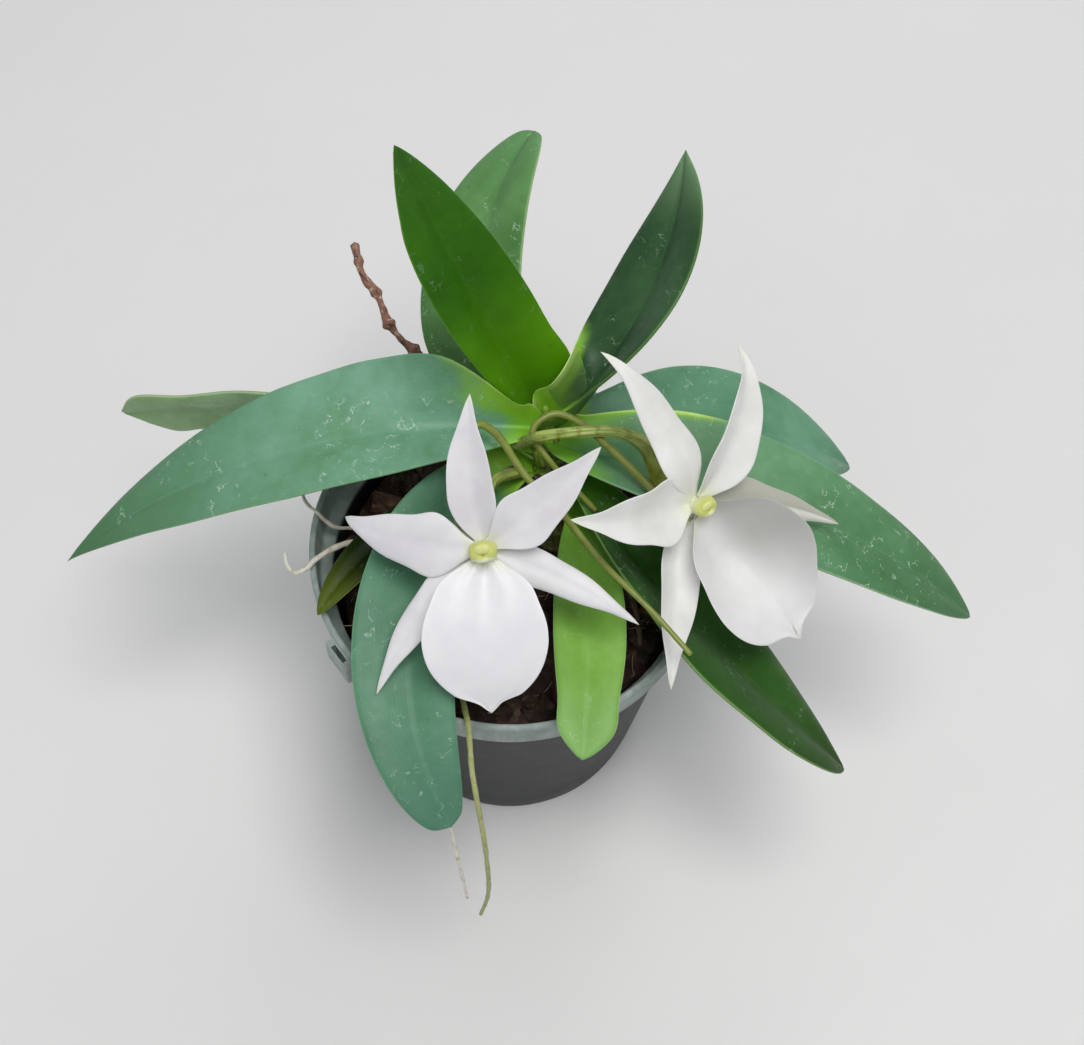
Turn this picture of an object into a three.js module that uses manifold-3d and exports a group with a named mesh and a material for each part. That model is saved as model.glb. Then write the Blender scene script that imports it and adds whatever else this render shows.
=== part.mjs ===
// Potted orchid: a short stemmed Angraecum with eleven leathery leaves and two white, long spurred
// flowers, growing in bark in a smoky plastic orchid pot. Millimetres, +Z up, the front is -Y.
// The origin is the middle of the pot's underside.
//
// Everything that grew is a loft: a row of closed rings with a pole at each end. A blade (leaf,
// sepal, petal, lip, bract) has ten points to a ring, three of them inside the upper face and five
// inside the lower one. A tube (stem, root, flower stalk, spur) has six or eight.
import * as THREE from 'three';
import { mergeVertices } from 'three/addons/utils/BufferGeometryUtils.js';
import Module from 'manifold-3d';

// ---- driving sizes ------------------------------------------------------------------------------

const POT_HEIGHT = 110;
const RIM_RADIUS = 60;
const COLLAR_HEIGHT = 14;
const COLLAR_STEP = 3.4;
const WALL = 1.3;
const BASE_RADIUS = 44;
const FOOT_HEIGHT = 3;
const CENTRE_FOOT_RADIUS = 11;
const DRAIN_HOLES = 8;
const DRAIN_RADIUS = 4;
const LUG_ANGLES = [96, 216, 336];
const LUG = { width: 11, out: 3.4, height: 10, slot: 6, slotGap: 1.5 };

const GAP = 0.35;
const MIX_TOP = 93;
const LEAF_THICKNESS = 2.2;
const TEPAL_THICKNESS = 0.9;

const SHOULDER_Z = POT_HEIGHT - COLLAR_HEIGHT;
const BODY_TOP_RADIUS = RIM_RADIUS - COLLAR_STEP - 1;

// ---- helpers ------------------------------------------------------------------------------------

const kernel = await Module();
kernel.setup();

const radians = THREE.MathUtils.degToRad;
const lerp = THREE.MathUtils.lerp;
const vec = (x, y, z) => new THREE.Vector3(x, y, z);

/** A repeatable number from -1 to 1 for a pair of counters. */
function jitter(i, j = 0) {
  const wave = Math.sin(i * 127.1 + j * 311.7 + 74.7) * 43758.5453;
  return 2 * (wave - Math.floor(wave)) - 1;
}

function material(color, roughness, options = {}) {
  return new THREE.MeshStandardMaterial({ color, roughness, metalness: 0, ...options });
}

const finishes = {
  pot: material(0x5d6a66, 0.35, { transparent: true, opacity: 0.55 }),
  mix: material(0x2a1a12, 0.95),
  bark: material(0x4a2a1a, 0.9),
  stem: material(0x6b5a33, 0.8),
  leafBlue: material(0x2f6b4e, 0.4),
  leafFresh: material(0x4c9411, 0.35),
  leafDark: material(0x245030, 0.45),
  leafPale: material(0x74ab4a, 0.4),
  leafOlive: material(0x5b6b28, 0.5),
  flower: material(0xeceae6, 0.6),
  column: material(0xd6e08a, 0.5),
  stalk: material(0x7d8a3a, 0.55),
  spur: material(0x8a9450, 0.5),
  root: material(0xa7ad63, 0.7),
  dryRoot: material(0xcdb892, 0.85),
  dead: material(0x6e4630, 0.9),
};

/** Positions and triangles only, with shared corners and no empty triangles. */
function cleaned(geometry) {
  const bare = new THREE.BufferGeometry();
  bare.setAttribute('position', geometry.getAttribute('position').clone());
  if (geometry.index) {
    bare.setIndex(geometry.index.clone());
  }
  const merged = mergeVertices(bare, 1e-4);
  const kept = [];
  const index = merged.index.array;
  for (let i = 0; i < index.length; i += 3) {
    const [a, b, c] = [index[i], index[i + 1], index[i + 2]];
    if (a !== b && b !== c && c !== a) {
      kept.push(a, b, c);
    }
  }
  merged.setIndex(kept);
  return merged;
}

function signedVolume(geometry) {
  const position = geometry.getAttribute('position');
  const index = geometry.index.array;
  const corner = [vec(), vec(), vec()];
  let sum = 0;
  for (let i = 0; i < index.length; i += 3) {
    corner.forEach((point, k) => point.fromBufferAttribute(position, index[i + k]));
    sum += corner[0].dot(corner[1].clone().cross(corner[2])) / 6;
  }
  return sum;
}

/** A closed skin over rings of equal count, from one pole to the other, facing out. */
function loft(startPole, rings, endPole) {
  const count = rings[0].length;
  const points = [startPole, ...rings.flat(), endPole];
  const last = points.length - 1;
  const faces = [];
  for (let j = 0; j < count; j += 1) {
    const next = (j + 1) % count;
    faces.push(0, 1 + next, 1 + j);
    const base = 1 + (rings.length - 1) * count;
    faces.push(last, base + j, base + next);
    for (let i = 0; i + 1 < rings.length; i += 1) {
      const low = 1 + i * count;
      const high = low + count;
      faces.push(low + j, low + next, high + next);
      faces.push(low + j, high + next, high + j);
    }
  }
  const geometry = new THREE.BufferGeometry().setFromPoints(points);
  geometry.setIndex(faces);
  if (signedVolume(geometry) < 0) {
    for (let i = 0; i < faces.length; i += 3) {
      [faces[i], faces[i + 1]] = [faces[i + 1], faces[i]];
    }
    geometry.setIndex(faces);
  }
  geometry.computeVertexNormals();
  return geometry;
}

function toManifold(geometry) {
  const solid = cleaned(geometry);
  return new kernel.Manifold(new kernel.Mesh({
    numProp: 3,
    vertProperties: new Float32Array(solid.getAttribute('position').array),
    triVerts: new Uint32Array(solid.index.array),
  }));
}

function fromManifold(body) {
  const mesh = body.getMesh();
  const geometry = new THREE.BufferGeometry();
  geometry.setAttribute('position', new THREE.BufferAttribute(mesh.vertProperties, 3));
  geometry.setIndex(new THREE.BufferAttribute(mesh.triVerts, 1));
  geometry.computeVertexNormals();
  return geometry;
}

/** The first solid with every tool taken out of it. */
function cut(geometry, tools) {
  const body = tools.reduce((left, tool) => left.subtract(toManifold(tool)), toManifold(geometry));
  return fromManifold(body);
}

function join(first, second) {
  return fromManifold(toManifold(first).add(toManifold(second)));
}

function piece(name, geometry, finish) {
  const mesh = new THREE.Mesh(geometry, finish);
  mesh.name = name;
  return mesh;
}

// ---- blades: leaves, sepals, petals, lips and bracts ---------------------------------------------

const UPPER = [0.5, 0, -0.5];
const LOWER = [-0.68, -0.34, 0, 0.34, 0.68];

/** Half width along a blade, as a share of its widest: a rise up to `widest`, then a taper. */
function outline(s, blade) {
  if (s < blade.widest) {
    return blade.foot + (1 - blade.foot) * Math.sin((Math.PI / 2) * (s / blade.widest));
  }
  const rest = (s - blade.widest) / (1 - blade.widest);
  return Math.max(0, 1 - rest ** 2.2) ** blade.taper;
}

/** Direction of growth at a share s of the length, with its left and its face side. */
function bladeAxes(s, blade) {
  const heading = radians(blade.heading + blade.sweep * s);
  const pitch = radians(blade.rise + blade.droop * s);
  const along = vec(
    Math.cos(pitch) * Math.cos(heading),
    Math.cos(pitch) * Math.sin(heading),
    Math.sin(pitch),
  );
  const level = vec(-Math.sin(heading), Math.cos(heading), 0);
  const roll = radians(blade.roll + blade.twist * s);
  const left = level.applyAxisAngle(along, roll);
  return { along, left, face: along.clone().cross(left) };
}

/** The midrib at a share s of the length, stepped along in short strides from the foot. */
function midrib(s, blade) {
  const strides = 40;
  const point = blade.base.clone();
  for (let k = 0; k < strides; k += 1) {
    const { along } = bladeAxes(((k + 0.5) / strides) * s, blade);
    point.addScaledVector(along, (blade.length * s) / strides);
  }
  return point;
}

/** One ring: left margin, three points over the face, right margin, five points under it. */
function bladeRing(s, blade) {
  const { left, face } = bladeAxes(s, blade);
  const middle = midrib(s, blade);
  const half = (blade.width / 2) * outline(s, blade);
  const fold = radians(blade.fold * (1 - s) ** 2 + blade.keel);
  const thickness = blade.thickness * (1 - 0.45 * s * s);
  const at = (u, side) => {
    const side_share = u * half * (1 + Math.sign(u) * blade.skew);
    const reach = Math.abs(side_share);
    const lift = reach * Math.sin(fold) + (blade.cup * side_share * side_share) / (blade.width / 2);
    const skin = side * 0.5 * Math.min(thickness, half) * (1 - u * u);
    return middle.clone()
      .addScaledVector(left, side_share * Math.cos(fold))
      .addScaledVector(face, lift + skin);
  };
  return [
    at(1, 0),
    ...UPPER.map((u) => at(u, 1)),
    at(-1, 0),
    ...LOWER.map((u) => at(u, -1)),
  ];
}

/** Rings stand closer together towards the tip, where the outline turns fastest. */
function bladeGeometry(values) {
  const blade = {
    sweep: 0, droop: 0, roll: 0, twist: 0, skew: 0, cup: 0, start: 0, rings: 12, ...values,
  };
  const first = blade.start / blade.length;
  const rings = [];
  for (let i = 0; i < blade.rings; i += 1) {
    const s = 1 - (1 - first) * (1 - i / blade.rings) ** 1.6;
    rings.push(bladeRing(s, blade));
  }
  const foot = midrib(first, blade);
  foot.addScaledVector(bladeAxes(first, blade).along, -0.6);
  return loft(foot, rings, midrib(1, blade));
}

// ---- tubes: stem, roots, flower stalks and spurs -------------------------------------------------

/** A tube through hand-placed points. `radius` gives its thickness at a share of the length. */
function tubeGeometry(points, radius, { sides = 8, steps = 20, grow = 0, twist = 0 } = {}) {
  const curve = new THREE.CatmullRomCurve3(points, false, 'centripetal');
  const frames = curve.computeFrenetFrames(steps, false);
  const rings = [];
  for (let i = 0; i <= steps; i += 1) {
    const s = i / steps;
    const centre = curve.getPointAt(s);
    const size = radius(s) + grow;
    const ring = [];
    for (let j = 0; j < sides; j += 1) {
      const angle = (2 * Math.PI * j) / sides + radians(twist) * s;
      ring.push(centre.clone()
        .addScaledVector(frames.normals[i], size * Math.cos(angle))
        .addScaledVector(frames.binormals[i], size * Math.sin(angle)));
    }
    rings.push(ring);
  }
  const pole = (s, side) => curve.getPointAt(s)
    .addScaledVector(curve.getTangentAt(s), side * (0.5 * radius(s) + grow));
  return loft(pole(0, -1), rings, pole(1, 1));
}

/** Straight lines between a list of [share, radius] pairs. */
function radiusAlong(pairs) {
  return (s) => {
    const i = Math.max(1, pairs.findIndex(([share]) => share >= s));
    const [s0, r0] = pairs[i - 1];
    const [s1, r1] = pairs[i];
    return lerp(r0, r1, THREE.MathUtils.clamp((s - s0) / (s1 - s0), 0, 1));
  };
}

// ---- pot, mix and bark ---------------------------------------------------------------------------

/** The outer radius of the tapering body at height z. */
function bodyRadius(z) {
  return lerp(BASE_RADIUS, BODY_TOP_RADIUS, z / SHOULDER_Z);
}

/** Blow-moulded pot: flat middle foot, foot ring, tapering body, stepped collar. */
function potGeometry() {
  const raised = FOOT_HEIGHT;
  const floor = raised + 1.8;
  const outside = [
    [0, 0], [CENTRE_FOOT_RADIUS, 0], [CENTRE_FOOT_RADIUS + 2, raised],
    [BASE_RADIUS - 8, raised], [BASE_RADIUS - 6, 0], [BASE_RADIUS - 1.5, 0],
    [BASE_RADIUS - 0.2, 1.2], [bodyRadius(SHOULDER_Z), SHOULDER_Z],
    [RIM_RADIUS - 1.2, SHOULDER_Z + 0.6], [RIM_RADIUS - 0.7, SHOULDER_Z + 1.6],
    [RIM_RADIUS, POT_HEIGHT - 1.4], [RIM_RADIUS - 0.3, POT_HEIGHT - 0.3], [RIM_RADIUS - 0.9, POT_HEIGHT],
  ];
  const inside = [
    [RIM_RADIUS - 1.6, POT_HEIGHT - 0.4], [RIM_RADIUS - 0.8 - WALL, SHOULDER_Z + 2.8],
    [RIM_RADIUS - 1.6 - WALL, SHOULDER_Z + 1.9], [bodyRadius(SHOULDER_Z) - WALL, SHOULDER_Z + 1.2],
    [bodyRadius(floor) - WALL, floor], [0, floor],
  ];
  const profile = [...outside, ...inside].map(([r, z]) => new THREE.Vector2(r, z));
  const body = new THREE.LatheGeometry(profile, 48).rotateX(Math.PI / 2);
  const withLugs = LUG_ANGLES.map(lugGeometry).reduce(join, facingOut(body));
  return cut(withLugs, [...drainHoles(), ...LUG_ANGLES.map(lugSlot)]);
}

/** A block that stands on the outside of the collar at an angle round the pot. */
function collarBlock(inner, outer, width, height, angle) {
  const block = new THREE.BoxGeometry(outer - inner, width, height);
  block.translate((inner + outer) / 2, 0, POT_HEIGHT - 1 - LUG.height / 2);
  return block.rotateZ(radians(angle));
}

/** Moulded lug that takes the foot of a wire hanger. */
function lugGeometry(angle) {
  return collarBlock(RIM_RADIUS - 1.3, RIM_RADIUS + LUG.out, LUG.width, LUG.height, angle);
}

function lugSlot(angle) {
  const inner = RIM_RADIUS + 0.7;
  return collarBlock(inner, inner + LUG.slotGap, LUG.slot, LUG.height + 4, angle);
}

function facingOut(geometry) {
  const solid = cleaned(geometry);
  if (signedVolume(solid) < 0) {
    const index = Array.from(solid.index.array);
    for (let i = 0; i < index.length; i += 3) {
      [index[i], index[i + 1]] = [index[i + 1], index[i]];
    }
    solid.setIndex(index);
  }
  return solid;
}

function drainHoles() {
  const holes = [];
  for (let i = 0; i < DRAIN_HOLES; i += 1) {
    const angle = (2 * Math.PI * (i + 0.5)) / DRAIN_HOLES;
    const hole = new THREE.CylinderGeometry(DRAIN_RADIUS, DRAIN_RADIUS, 6, 12);
    hole.rotateX(Math.PI / 2);
    hole.translate(25 * Math.cos(angle), 25 * Math.sin(angle), FOOT_HEIGHT + 1);
    holes.push(hole);
  }
  return holes;
}

/** Height of the loose bark surface: a little lower towards the wall, and lumpy. */
function mixHeight(radius, i, j) {
  return MIX_TOP + 1.5 - 3 * (radius / 54) ** 2 + 1.1 * jitter(i, j);
}

function mixGeometry() {
  const sectors = 28;
  const floor = FOOT_HEIGHT + 1.8 + GAP;
  const wall = (z) => bodyRadius(z) - WALL - 0.6;
  const ring = (radius, height) => Array.from({ length: sectors }, (_, j) => {
    const angle = (2 * Math.PI * j) / sectors;
    return vec(radius * Math.cos(angle), radius * Math.sin(angle), height(j));
  });
  const tops = [9, 18, 27, 36, 45, wall(MIX_TOP - 4)];
  const rings = tops.map((radius, i) => ring(radius, (j) => mixHeight(radius, i, j)));
  rings.push(ring(wall(MIX_TOP - 6), () => MIX_TOP - 6));
  rings.push(ring(wall(floor), () => floor));
  return loft(vec(0, 0, MIX_TOP + 1.5), rings, vec(0, 0, floor));
}

/** Bark chips lie on the mix, each in a shallow hollow: angle, distance out, length, width, depth. */
const CHIPS = [
  [20, 39, 15, 10, 7],
  [58, 45, 13, 9, 8],
  [105, 38, 16, 11, 7],
  [150, 44, 12, 10, 8],
  [196, 37, 16, 10, 7],
  [232, 43, 13, 10, 6],
  [262, 30, 16, 11, 8],
  [291, 45, 14, 9, 7],
  [318, 36, 15, 11, 7],
  [340, 47, 11, 9, 7],
];

function chipGeometry(chip, number, grow = 0) {
  const [angle, out, length, width, depth] = chip;
  const shape = cleaned(new THREE.IcosahedronGeometry(1, 0));
  const position = shape.getAttribute('position');
  for (let i = 0; i < position.count; i += 1) {
    const point = vec().fromBufferAttribute(position, i);
    const size = 1 + 0.16 * jitter(number, i);
    point.multiply(vec(length / 2 + grow, width / 2 + grow, depth / 2 + grow)).multiplyScalar(size);
    position.setXYZ(i, point.x, point.y, point.z);
  }
  shape.rotateX(radians(18 * jitter(number, 40)));
  shape.rotateY(radians(14 * jitter(number, 41)));
  shape.rotateZ(radians(90 * jitter(number, 42)));
  const turn = radians(angle);
  shape.translate(out * Math.cos(turn), out * Math.sin(turn), MIX_TOP + 1.2);
  return facingOut(shape);
}

// ---- stem and roots ------------------------------------------------------------------------------

const STEM_POINTS = [vec(15, 9, 78), vec(14, 12, 98), vec(12, 17, 118), vec(10.5, 21.5, 136), vec(10, 23, 148)];
const stemRadius = radiusAlong([[0, 4], [0.25, 5.2], [0.5, 5], [0.8, 4.2], [1, 2]]);

function stemGeometry(grow = 0) {
  return tubeGeometry(STEM_POINTS, stemRadius, { steps: 16, grow });
}

/** Roots: name, finish, sides, thickness along it and the points that it passes through. */
const ROOTS = [
  {
    name: 'root_over_rim_long',
    finish: finishes.root,
    radius: radiusAlong([[0, 1.8], [0.9, 1.3], [1, 1]]),
    points: [
      vec(8.4, 3.6, 106), vec(2, -8, 104), vec(-9, -27, 102), vec(-13.5, -45.5, 106.5), vec(-11.5, -60, 113.5),
      vec(-10.5, -72, 112), vec(-8, -83, 100), vec(-6.5, -89, 80), vec(-6.5, -91, 58), vec(-9, -91, 36),
    ],
    steps: 26,
  },
  {
    name: 'root_over_rim_short',
    finish: finishes.dryRoot,
    radius: radiusAlong([[0, 1.5], [0.9, 1.1], [1, 0.8]]),
    points: [
      vec(5.5, 6.4, 101), vec(-9, -13, 99.5), vec(-19, -36, 102), vec(-21, -50, 110), vec(-20.5, -58, 113),
      vec(-19.5, -67, 111), vec(-17.5, -79, 98), vec(-15, -86, 74), vec(-13, -89, 47),
    ],
    steps: 24,
  },
  {
    name: 'root_live',
    finish: finishes.root,
    radius: radiusAlong([[0, 1.5], [0.6, 1.7], [1, 1.2]]),
    points: [vec(17, 14, 122), vec(21.5, 12, 114), vec(27, 9, 104), vec(30, 5, 95), vec(31, 2, 87)],
    steps: 12,
  },
  {
    name: 'root_buried',
    finish: finishes.dead,
    radius: radiusAlong([[0, 1.2], [1, 0.9]]),
    points: [vec(18.5, 6.5, 105), vec(27, -4, 106), vec(35, -13, 104), vec(38, -22, 99), vec(39, -28, 88)],
    steps: 12,
  },
  {
    name: 'root_dry_spike',
    finish: finishes.dryRoot,
    radius: radiusAlong([[0, 1.4], [0.7, 1.0], [1, 0.5]]),
    points: [
      vec(-36, 8, 88), vec(-42, 6, 97), vec(-49, 1, 107), vec(-56, -6, 112), vec(-61.5, -11.5, 112.5),
      vec(-64.5, -10, 112), vec(-66, -5, 112.5),
    ],
    steps: 14,
  },
  {
    name: 'root_dry_curl',
    finish: finishes.dead,
    radius: radiusAlong([[0, 0.8], [1, 0.6]]),
    points: [
      vec(-40, 14, 88), vec(-46, 11, 98), vec(-53, 7, 107), vec(-57.5, 9, 112), vec(-61.5, 13, 113),
      vec(-61, 17, 114.5),
    ],
    steps: 12,
  },
];

function rootGeometry(root, grow = 0) {
  return tubeGeometry(root.points, root.radius, { sides: 6, steps: root.steps, grow });
}

// ---- leaves --------------------------------------------------------------------------------------

const LEAF = { foot: 0.34, fold: 35, keel: 6, thickness: LEAF_THICKNESS, start: 6 };

const LEAVES = [
  {
    name: 'leaf_left_large', finish: finishes.leafBlue, base: vec(6, 21, 139),
    heading: 181, sweep: 18, rise: 10, droop: -49, length: 150, width: 40.5,
    roll: -2, twist: 5, widest: 0.26, taper: 1.2, skew: -0.1,
  },
  {
    name: 'leaf_left_far', finish: finishes.leafOlive, base: vec(3, 26, 127),
    heading: 171, sweep: 1, rise: 7, droop: -28, length: 126, width: 30,
    roll: -86, twist: -13, widest: 0.42, taper: 0.9,
  },
  {
    name: 'leaf_top', finish: finishes.leafFresh, base: vec(8, 26, 137),
    heading: 152, sweep: 2, rise: 65, droop: 4, length: 104, width: 33.5,
    roll: -24, twist: 3, widest: 0.18, taper: 0.85, skew: 0.06,
  },
  {
    name: 'leaf_back', finish: finishes.leafBlue, base: vec(2, 24, 131),
    heading: 120, sweep: -66, rise: 26, droop: -19, length: 100, width: 34,
    roll: -23, twist: -6, widest: 0.4, taper: 0.45, skew: 0.06,
  },
  {
    name: 'leaf_back_right', finish: finishes.leafDark, base: vec(14, 22, 139),
    heading: 32, sweep: 55, rise: 41, droop: -18, length: 88, width: 34.5,
    roll: -37, twist: -6, widest: 0.41, taper: 1.07, skew: -0.09,
  },
  {
    name: 'leaf_right_rear', finish: finishes.leafBlue, base: vec(18, 24, 129),
    heading: 7, sweep: -1, rise: 9, droop: -60, length: 100, width: 38,
    roll: -2, twist: -4, widest: 0.41, taper: 0.93, skew: 0.04,
  },
  {
    name: 'leaf_right_large', finish: finishes.leafDark, base: vec(15, 17, 135),
    heading: -16, sweep: 2, rise: 11, droop: -59, length: 141, width: 37.5,
    roll: 0, twist: -4, widest: 0.28, taper: 0.8,
  },
  {
    name: 'leaf_right_low', finish: finishes.leafDark, base: vec(17, 15, 124),
    heading: -61, sweep: 38, rise: 5, droop: -51, length: 125, width: 35.5,
    roll: -25, twist: -6, widest: 0.49, taper: 0.79, skew: -0.1,
  },
  {
    name: 'leaf_front_small', finish: finishes.leafPale, base: vec(19, 7, 118),
    heading: -83, sweep: -13, rise: 17, droop: -33, length: 80, width: 21,
    roll: -1, twist: -1, widest: 0.5, taper: 0.7, skew: 0.05,
  },
  {
    name: 'leaf_front_hanging', finish: finishes.leafBlue, base: vec(5, 17, 124),
    heading: -144, sweep: 87, rise: 15, droop: -47, length: 121, width: 31,
    roll: 0, twist: 1, widest: 0.34, taper: 0.42, skew: -0.12,
  },
  {
    name: 'leaf_left_small', finish: finishes.leafOlive, base: vec(-4, 15, 119),
    heading: 200, sweep: 37, rise: 2, droop: -13, length: 67, width: 13.5,
    roll: 8, twist: 3, widest: 0.52, taper: 0.74, skew: -0.06,
  },
];

// ---- flowers -------------------------------------------------------------------------------------

const TEPAL = { foot: 0.4, fold: 8, keel: 6, thickness: TEPAL_THICKNESS, rings: 10, taper: 0.97, widest: 0.37 };
const SEPAL_LAYER = { out: 2.8, level: 0 };
const PETAL_LAYER = { out: 3.4, level: 1.6 };

/** Each flower: where its middle is, where it faces, and its six blades in its own axes. */
const FLOWERS = [
  {
    name: 'left_flower', centre: vec(-6.7, -24.4, 152), azimuth: -6, elevation: 52,
    blades: {
      dorsal_sepal: {
        layer: SEPAL_LAYER, heading: 109, sweep: -20, rise: 13, droop: -8, length: 40, width: 12.3, roll: -8,
      },
      petal_left: {
        layer: PETAL_LAYER, heading: 184, sweep: -18, rise: -4, droop: -30, length: 41, width: 13.7,
      },
      petal_right: {
        layer: PETAL_LAYER, heading: 43, sweep: 10, rise: 15, droop: -4, length: 40, width: 12.6,
      },
      lateral_sepal_left: {
        layer: SEPAL_LAYER, heading: 224, sweep: 30, rise: 4, droop: -6, length: 48, width: 9.5, roll: 21,
      },
      lateral_sepal_right: {
        layer: SEPAL_LAYER, heading: -13, sweep: -16, rise: 3, droop: -3, length: 43, width: 9, roll: -7,
      },
      lip: {
        layer: PETAL_LAYER, heading: 275, sweep: 0, rise: 14, droop: -38, length: 43.5, width: 34,
        foot: 0.22, widest: 0.42, taper: 0.95, cup: 0.16, roll: -6,
      },
    },
  },
  {
    name: 'right_flower', centre: vec(49.8, -12, 155), azimuth: 32, elevation: 42,
    blades: {
      dorsal_sepal: {
        layer: SEPAL_LAYER, heading: 89, sweep: 22, rise: 12, droop: -24, length: 49, width: 11.7, roll: 16,
      },
      petal_left: {
        layer: PETAL_LAYER, heading: 162, sweep: -17, rise: 20, droop: -5, length: 41, width: 13.7, roll: 5,
      },
      petal_right: {
        layer: PETAL_LAYER, heading: 41, sweep: 27, rise: 26, droop: -40, length: 42.5, width: 12.8, roll: 10,
      },
      lateral_sepal_left: {
        layer: SEPAL_LAYER, heading: 232, sweep: 12, rise: -1, droop: 14, length: 49, width: 11, roll: 7,
      },
      lateral_sepal_right: {
        layer: SEPAL_LAYER, heading: -23, sweep: -26, rise: 3, droop: -4, length: 45, width: 9.3, roll: -9,
      },
      lip: {
        layer: PETAL_LAYER, heading: 287, sweep: -4, rise: 17, droop: -26, length: 49, width: 36,
        foot: 0.22, widest: 0.42, taper: 0.92, cup: 0.26, roll: -3,
      },
    },
  },
];

/** A group that stands at the flower's middle with +Z out of its face and +Y to its top. */
function flowerGroup(flower) {
  const azimuth = radians(flower.azimuth);
  const elevation = radians(flower.elevation);
  const face = vec(
    Math.sin(azimuth) * Math.cos(elevation),
    -Math.cos(azimuth) * Math.cos(elevation),
    Math.sin(elevation),
  );
  const right = vec(0, 0, 1).cross(face).normalize();
  const group = new THREE.Group();
  group.quaternion.setFromRotationMatrix(new THREE.Matrix4().makeBasis(right, face.clone().cross(right), face));
  group.position.copy(flower.centre);
  group.updateMatrixWorld(true);
  return group;
}

function tepalGeometry(values) {
  const blade = { ...TEPAL, ...values };
  const middle = radians(blade.heading + 0.25 * (values.sweep ?? 0));
  const { out, level } = blade.layer;
  blade.base = vec(out * Math.cos(middle), out * Math.sin(middle), level);
  return bladeGeometry(blade);
}

/** Short stout column, standing a little forward of the ring of tepals. */
function columnGeometry() {
  const points = [vec(0, 0.2, 1.3), vec(0, 0.5, 3.5), vec(0, 0.3, 6.2)];
  return tubeGeometry(points, radiusAlong([[0, 1.7], [0.5, 2.2], [1, 2.4]]), { steps: 5 });
}

function antherCapGeometry() {
  const cap = new THREE.SphereGeometry(1, 10, 6);
  cap.scale(2.1, 2, 0.95);
  cap.translate(0, 0, 9);
  return facingOut(cap);
}

function buildFlower(flower) {
  const group = flowerGroup(flower);
  for (const [name, blade] of Object.entries(flower.blades)) {
    group.add(piece(`${flower.name}_${name}`, tepalGeometry(blade), finishes.flower));
  }
  group.add(piece(`${flower.name}_column`, columnGeometry(), finishes.column));
  group.add(piece(`${flower.name}_anther_cap`, antherCapGeometry(), finishes.flower));
  return group;
}

/** Stalk and ovary are one: thin at the stem, thicker and six-ribbed behind the flower. */
const STALKS = [
  {
    name: 'left_flower_stalk', top: vec(0, 2, -1.6), behind: vec(0, 3.5, -9),
    points: [vec(-5.8, -0.5, 143), vec(-3, 5, 139.5), vec(4, 9.5, 135)],
  },
  {
    name: 'right_flower_stalk', top: vec(0, 2, -1.6), behind: vec(0, 3, -11),
    points: [vec(37, 12.5, 144), vec(30, 16, 144.5), vec(20, 15.5, 145.5), vec(9, 14.5, 145), vec(1.5, 15, 141)],
  },
];

function stalkGeometry(stalk, group) {
  const points = [
    group.localToWorld(stalk.top.clone()),
    group.localToWorld(stalk.behind.clone()),
    ...stalk.points,
  ];
  const radius = radiusAlong([[0, 2.1], [0.12, 2.5], [0.35, 2.2], [0.55, 1.5], [1, 1.5]]);
  return tubeGeometry(points, radius, { sides: 6, steps: 16, twist: 150 });
}

/** Nectar spurs leave the back of the lip, wide at the mouth, and taper to a long thread. */
const SPURS = [
  {
    name: 'left_flower_spur', mouth: vec(0, -3.4, -1.8), behind: vec(-3.5, -4, -6),
    points: [
      vec(-14, -9, 147), vec(-13, 7, 152), vec(-8, 14, 153.5), vec(-3, 9.5, 153.5), vec(4, -1.3, 151.5),
      vec(14.4, -12, 148.5), vec(24.3, -25, 146.5), vec(35, -36, 144.5), vec(40, -41, 143), vec(48, -50, 140.5),
    ],
  },
  {
    name: 'right_flower_spur', mouth: vec(0, -3.4, -1.8), behind: vec(-2, -3.5, -8),
    points: [
      vec(36, -1, 149.5), vec(27.5, 7.5, 151.5), vec(20, 14.5, 152.5), vec(13, 17.6, 153), vec(8, 15.4, 152.5),
      vec(6, 12.3, 150.5), vec(9, 8.3, 148), vec(13.7, 3.7, 144.5), vec(19, 0, 140), vec(24, -3, 135),
    ],
  },
];

function spurGeometry(spur, group) {
  const points = [
    group.localToWorld(spur.mouth.clone()),
    group.localToWorld(spur.behind.clone()),
    ...spur.points,
  ];
  const radius = radiusAlong([[0, 2.2], [0.08, 2.0], [0.25, 1.35], [1, 0.8]]);
  return tubeGeometry(points, radius, { sides: 8, steps: 26 });
}

// ---- dead parts ----------------------------------------------------------------------------------

/** Last year's flower stalk: dry, jointed, with a broken pale tip. */
function oldStalkGeometry() {
  const points = [
    vec(1, 29, 131), vec(-12, 39, 132), vec(-28, 50, 136), vec(-36, 57.5, 140),
    vec(-39.5, 66, 143), vec(-43.5, 70, 146), vec(-46, 78, 151),
  ];
  const joints = (s) => 1.15 + 0.35 * Math.cos(s * 6 * 2 * Math.PI) ** 6;
  return tubeGeometry(points, joints, { sides: 6, steps: 18 });
}

/** Papery bracts at the foot of the flower stalks: base point, heading and rise. */
const BRACTS = [
  [vec(4.2, 12.5, 129.5), 205, 20],
  [vec(9.5, 11, 129), 265, 50],
  [vec(13.5, 12.5, 131), 300, 62],
];

function bractGeometry([base, heading, rise]) {
  return bladeGeometry({
    base, heading, rise, length: 9, width: 5.5, foot: 0.6, fold: 20, keel: 15,
    widest: 0.4, taper: 0.8, thickness: 0.8, rings: 5,
  });
}

// ---- the whole plant -----------------------------------------------------------------------------

function mixAroundPlant() {
  const tools = [stemGeometry(GAP)];
  ROOTS.filter((root) => root.points.some((point) => point.z < MIX_TOP + 1))
    .forEach((root) => tools.push(rootGeometry(root, GAP)));
  CHIPS.forEach((chip, number) => tools.push(chipGeometry(chip, number, GAP)));
  return cut(mixGeometry(), tools);
}

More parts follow.
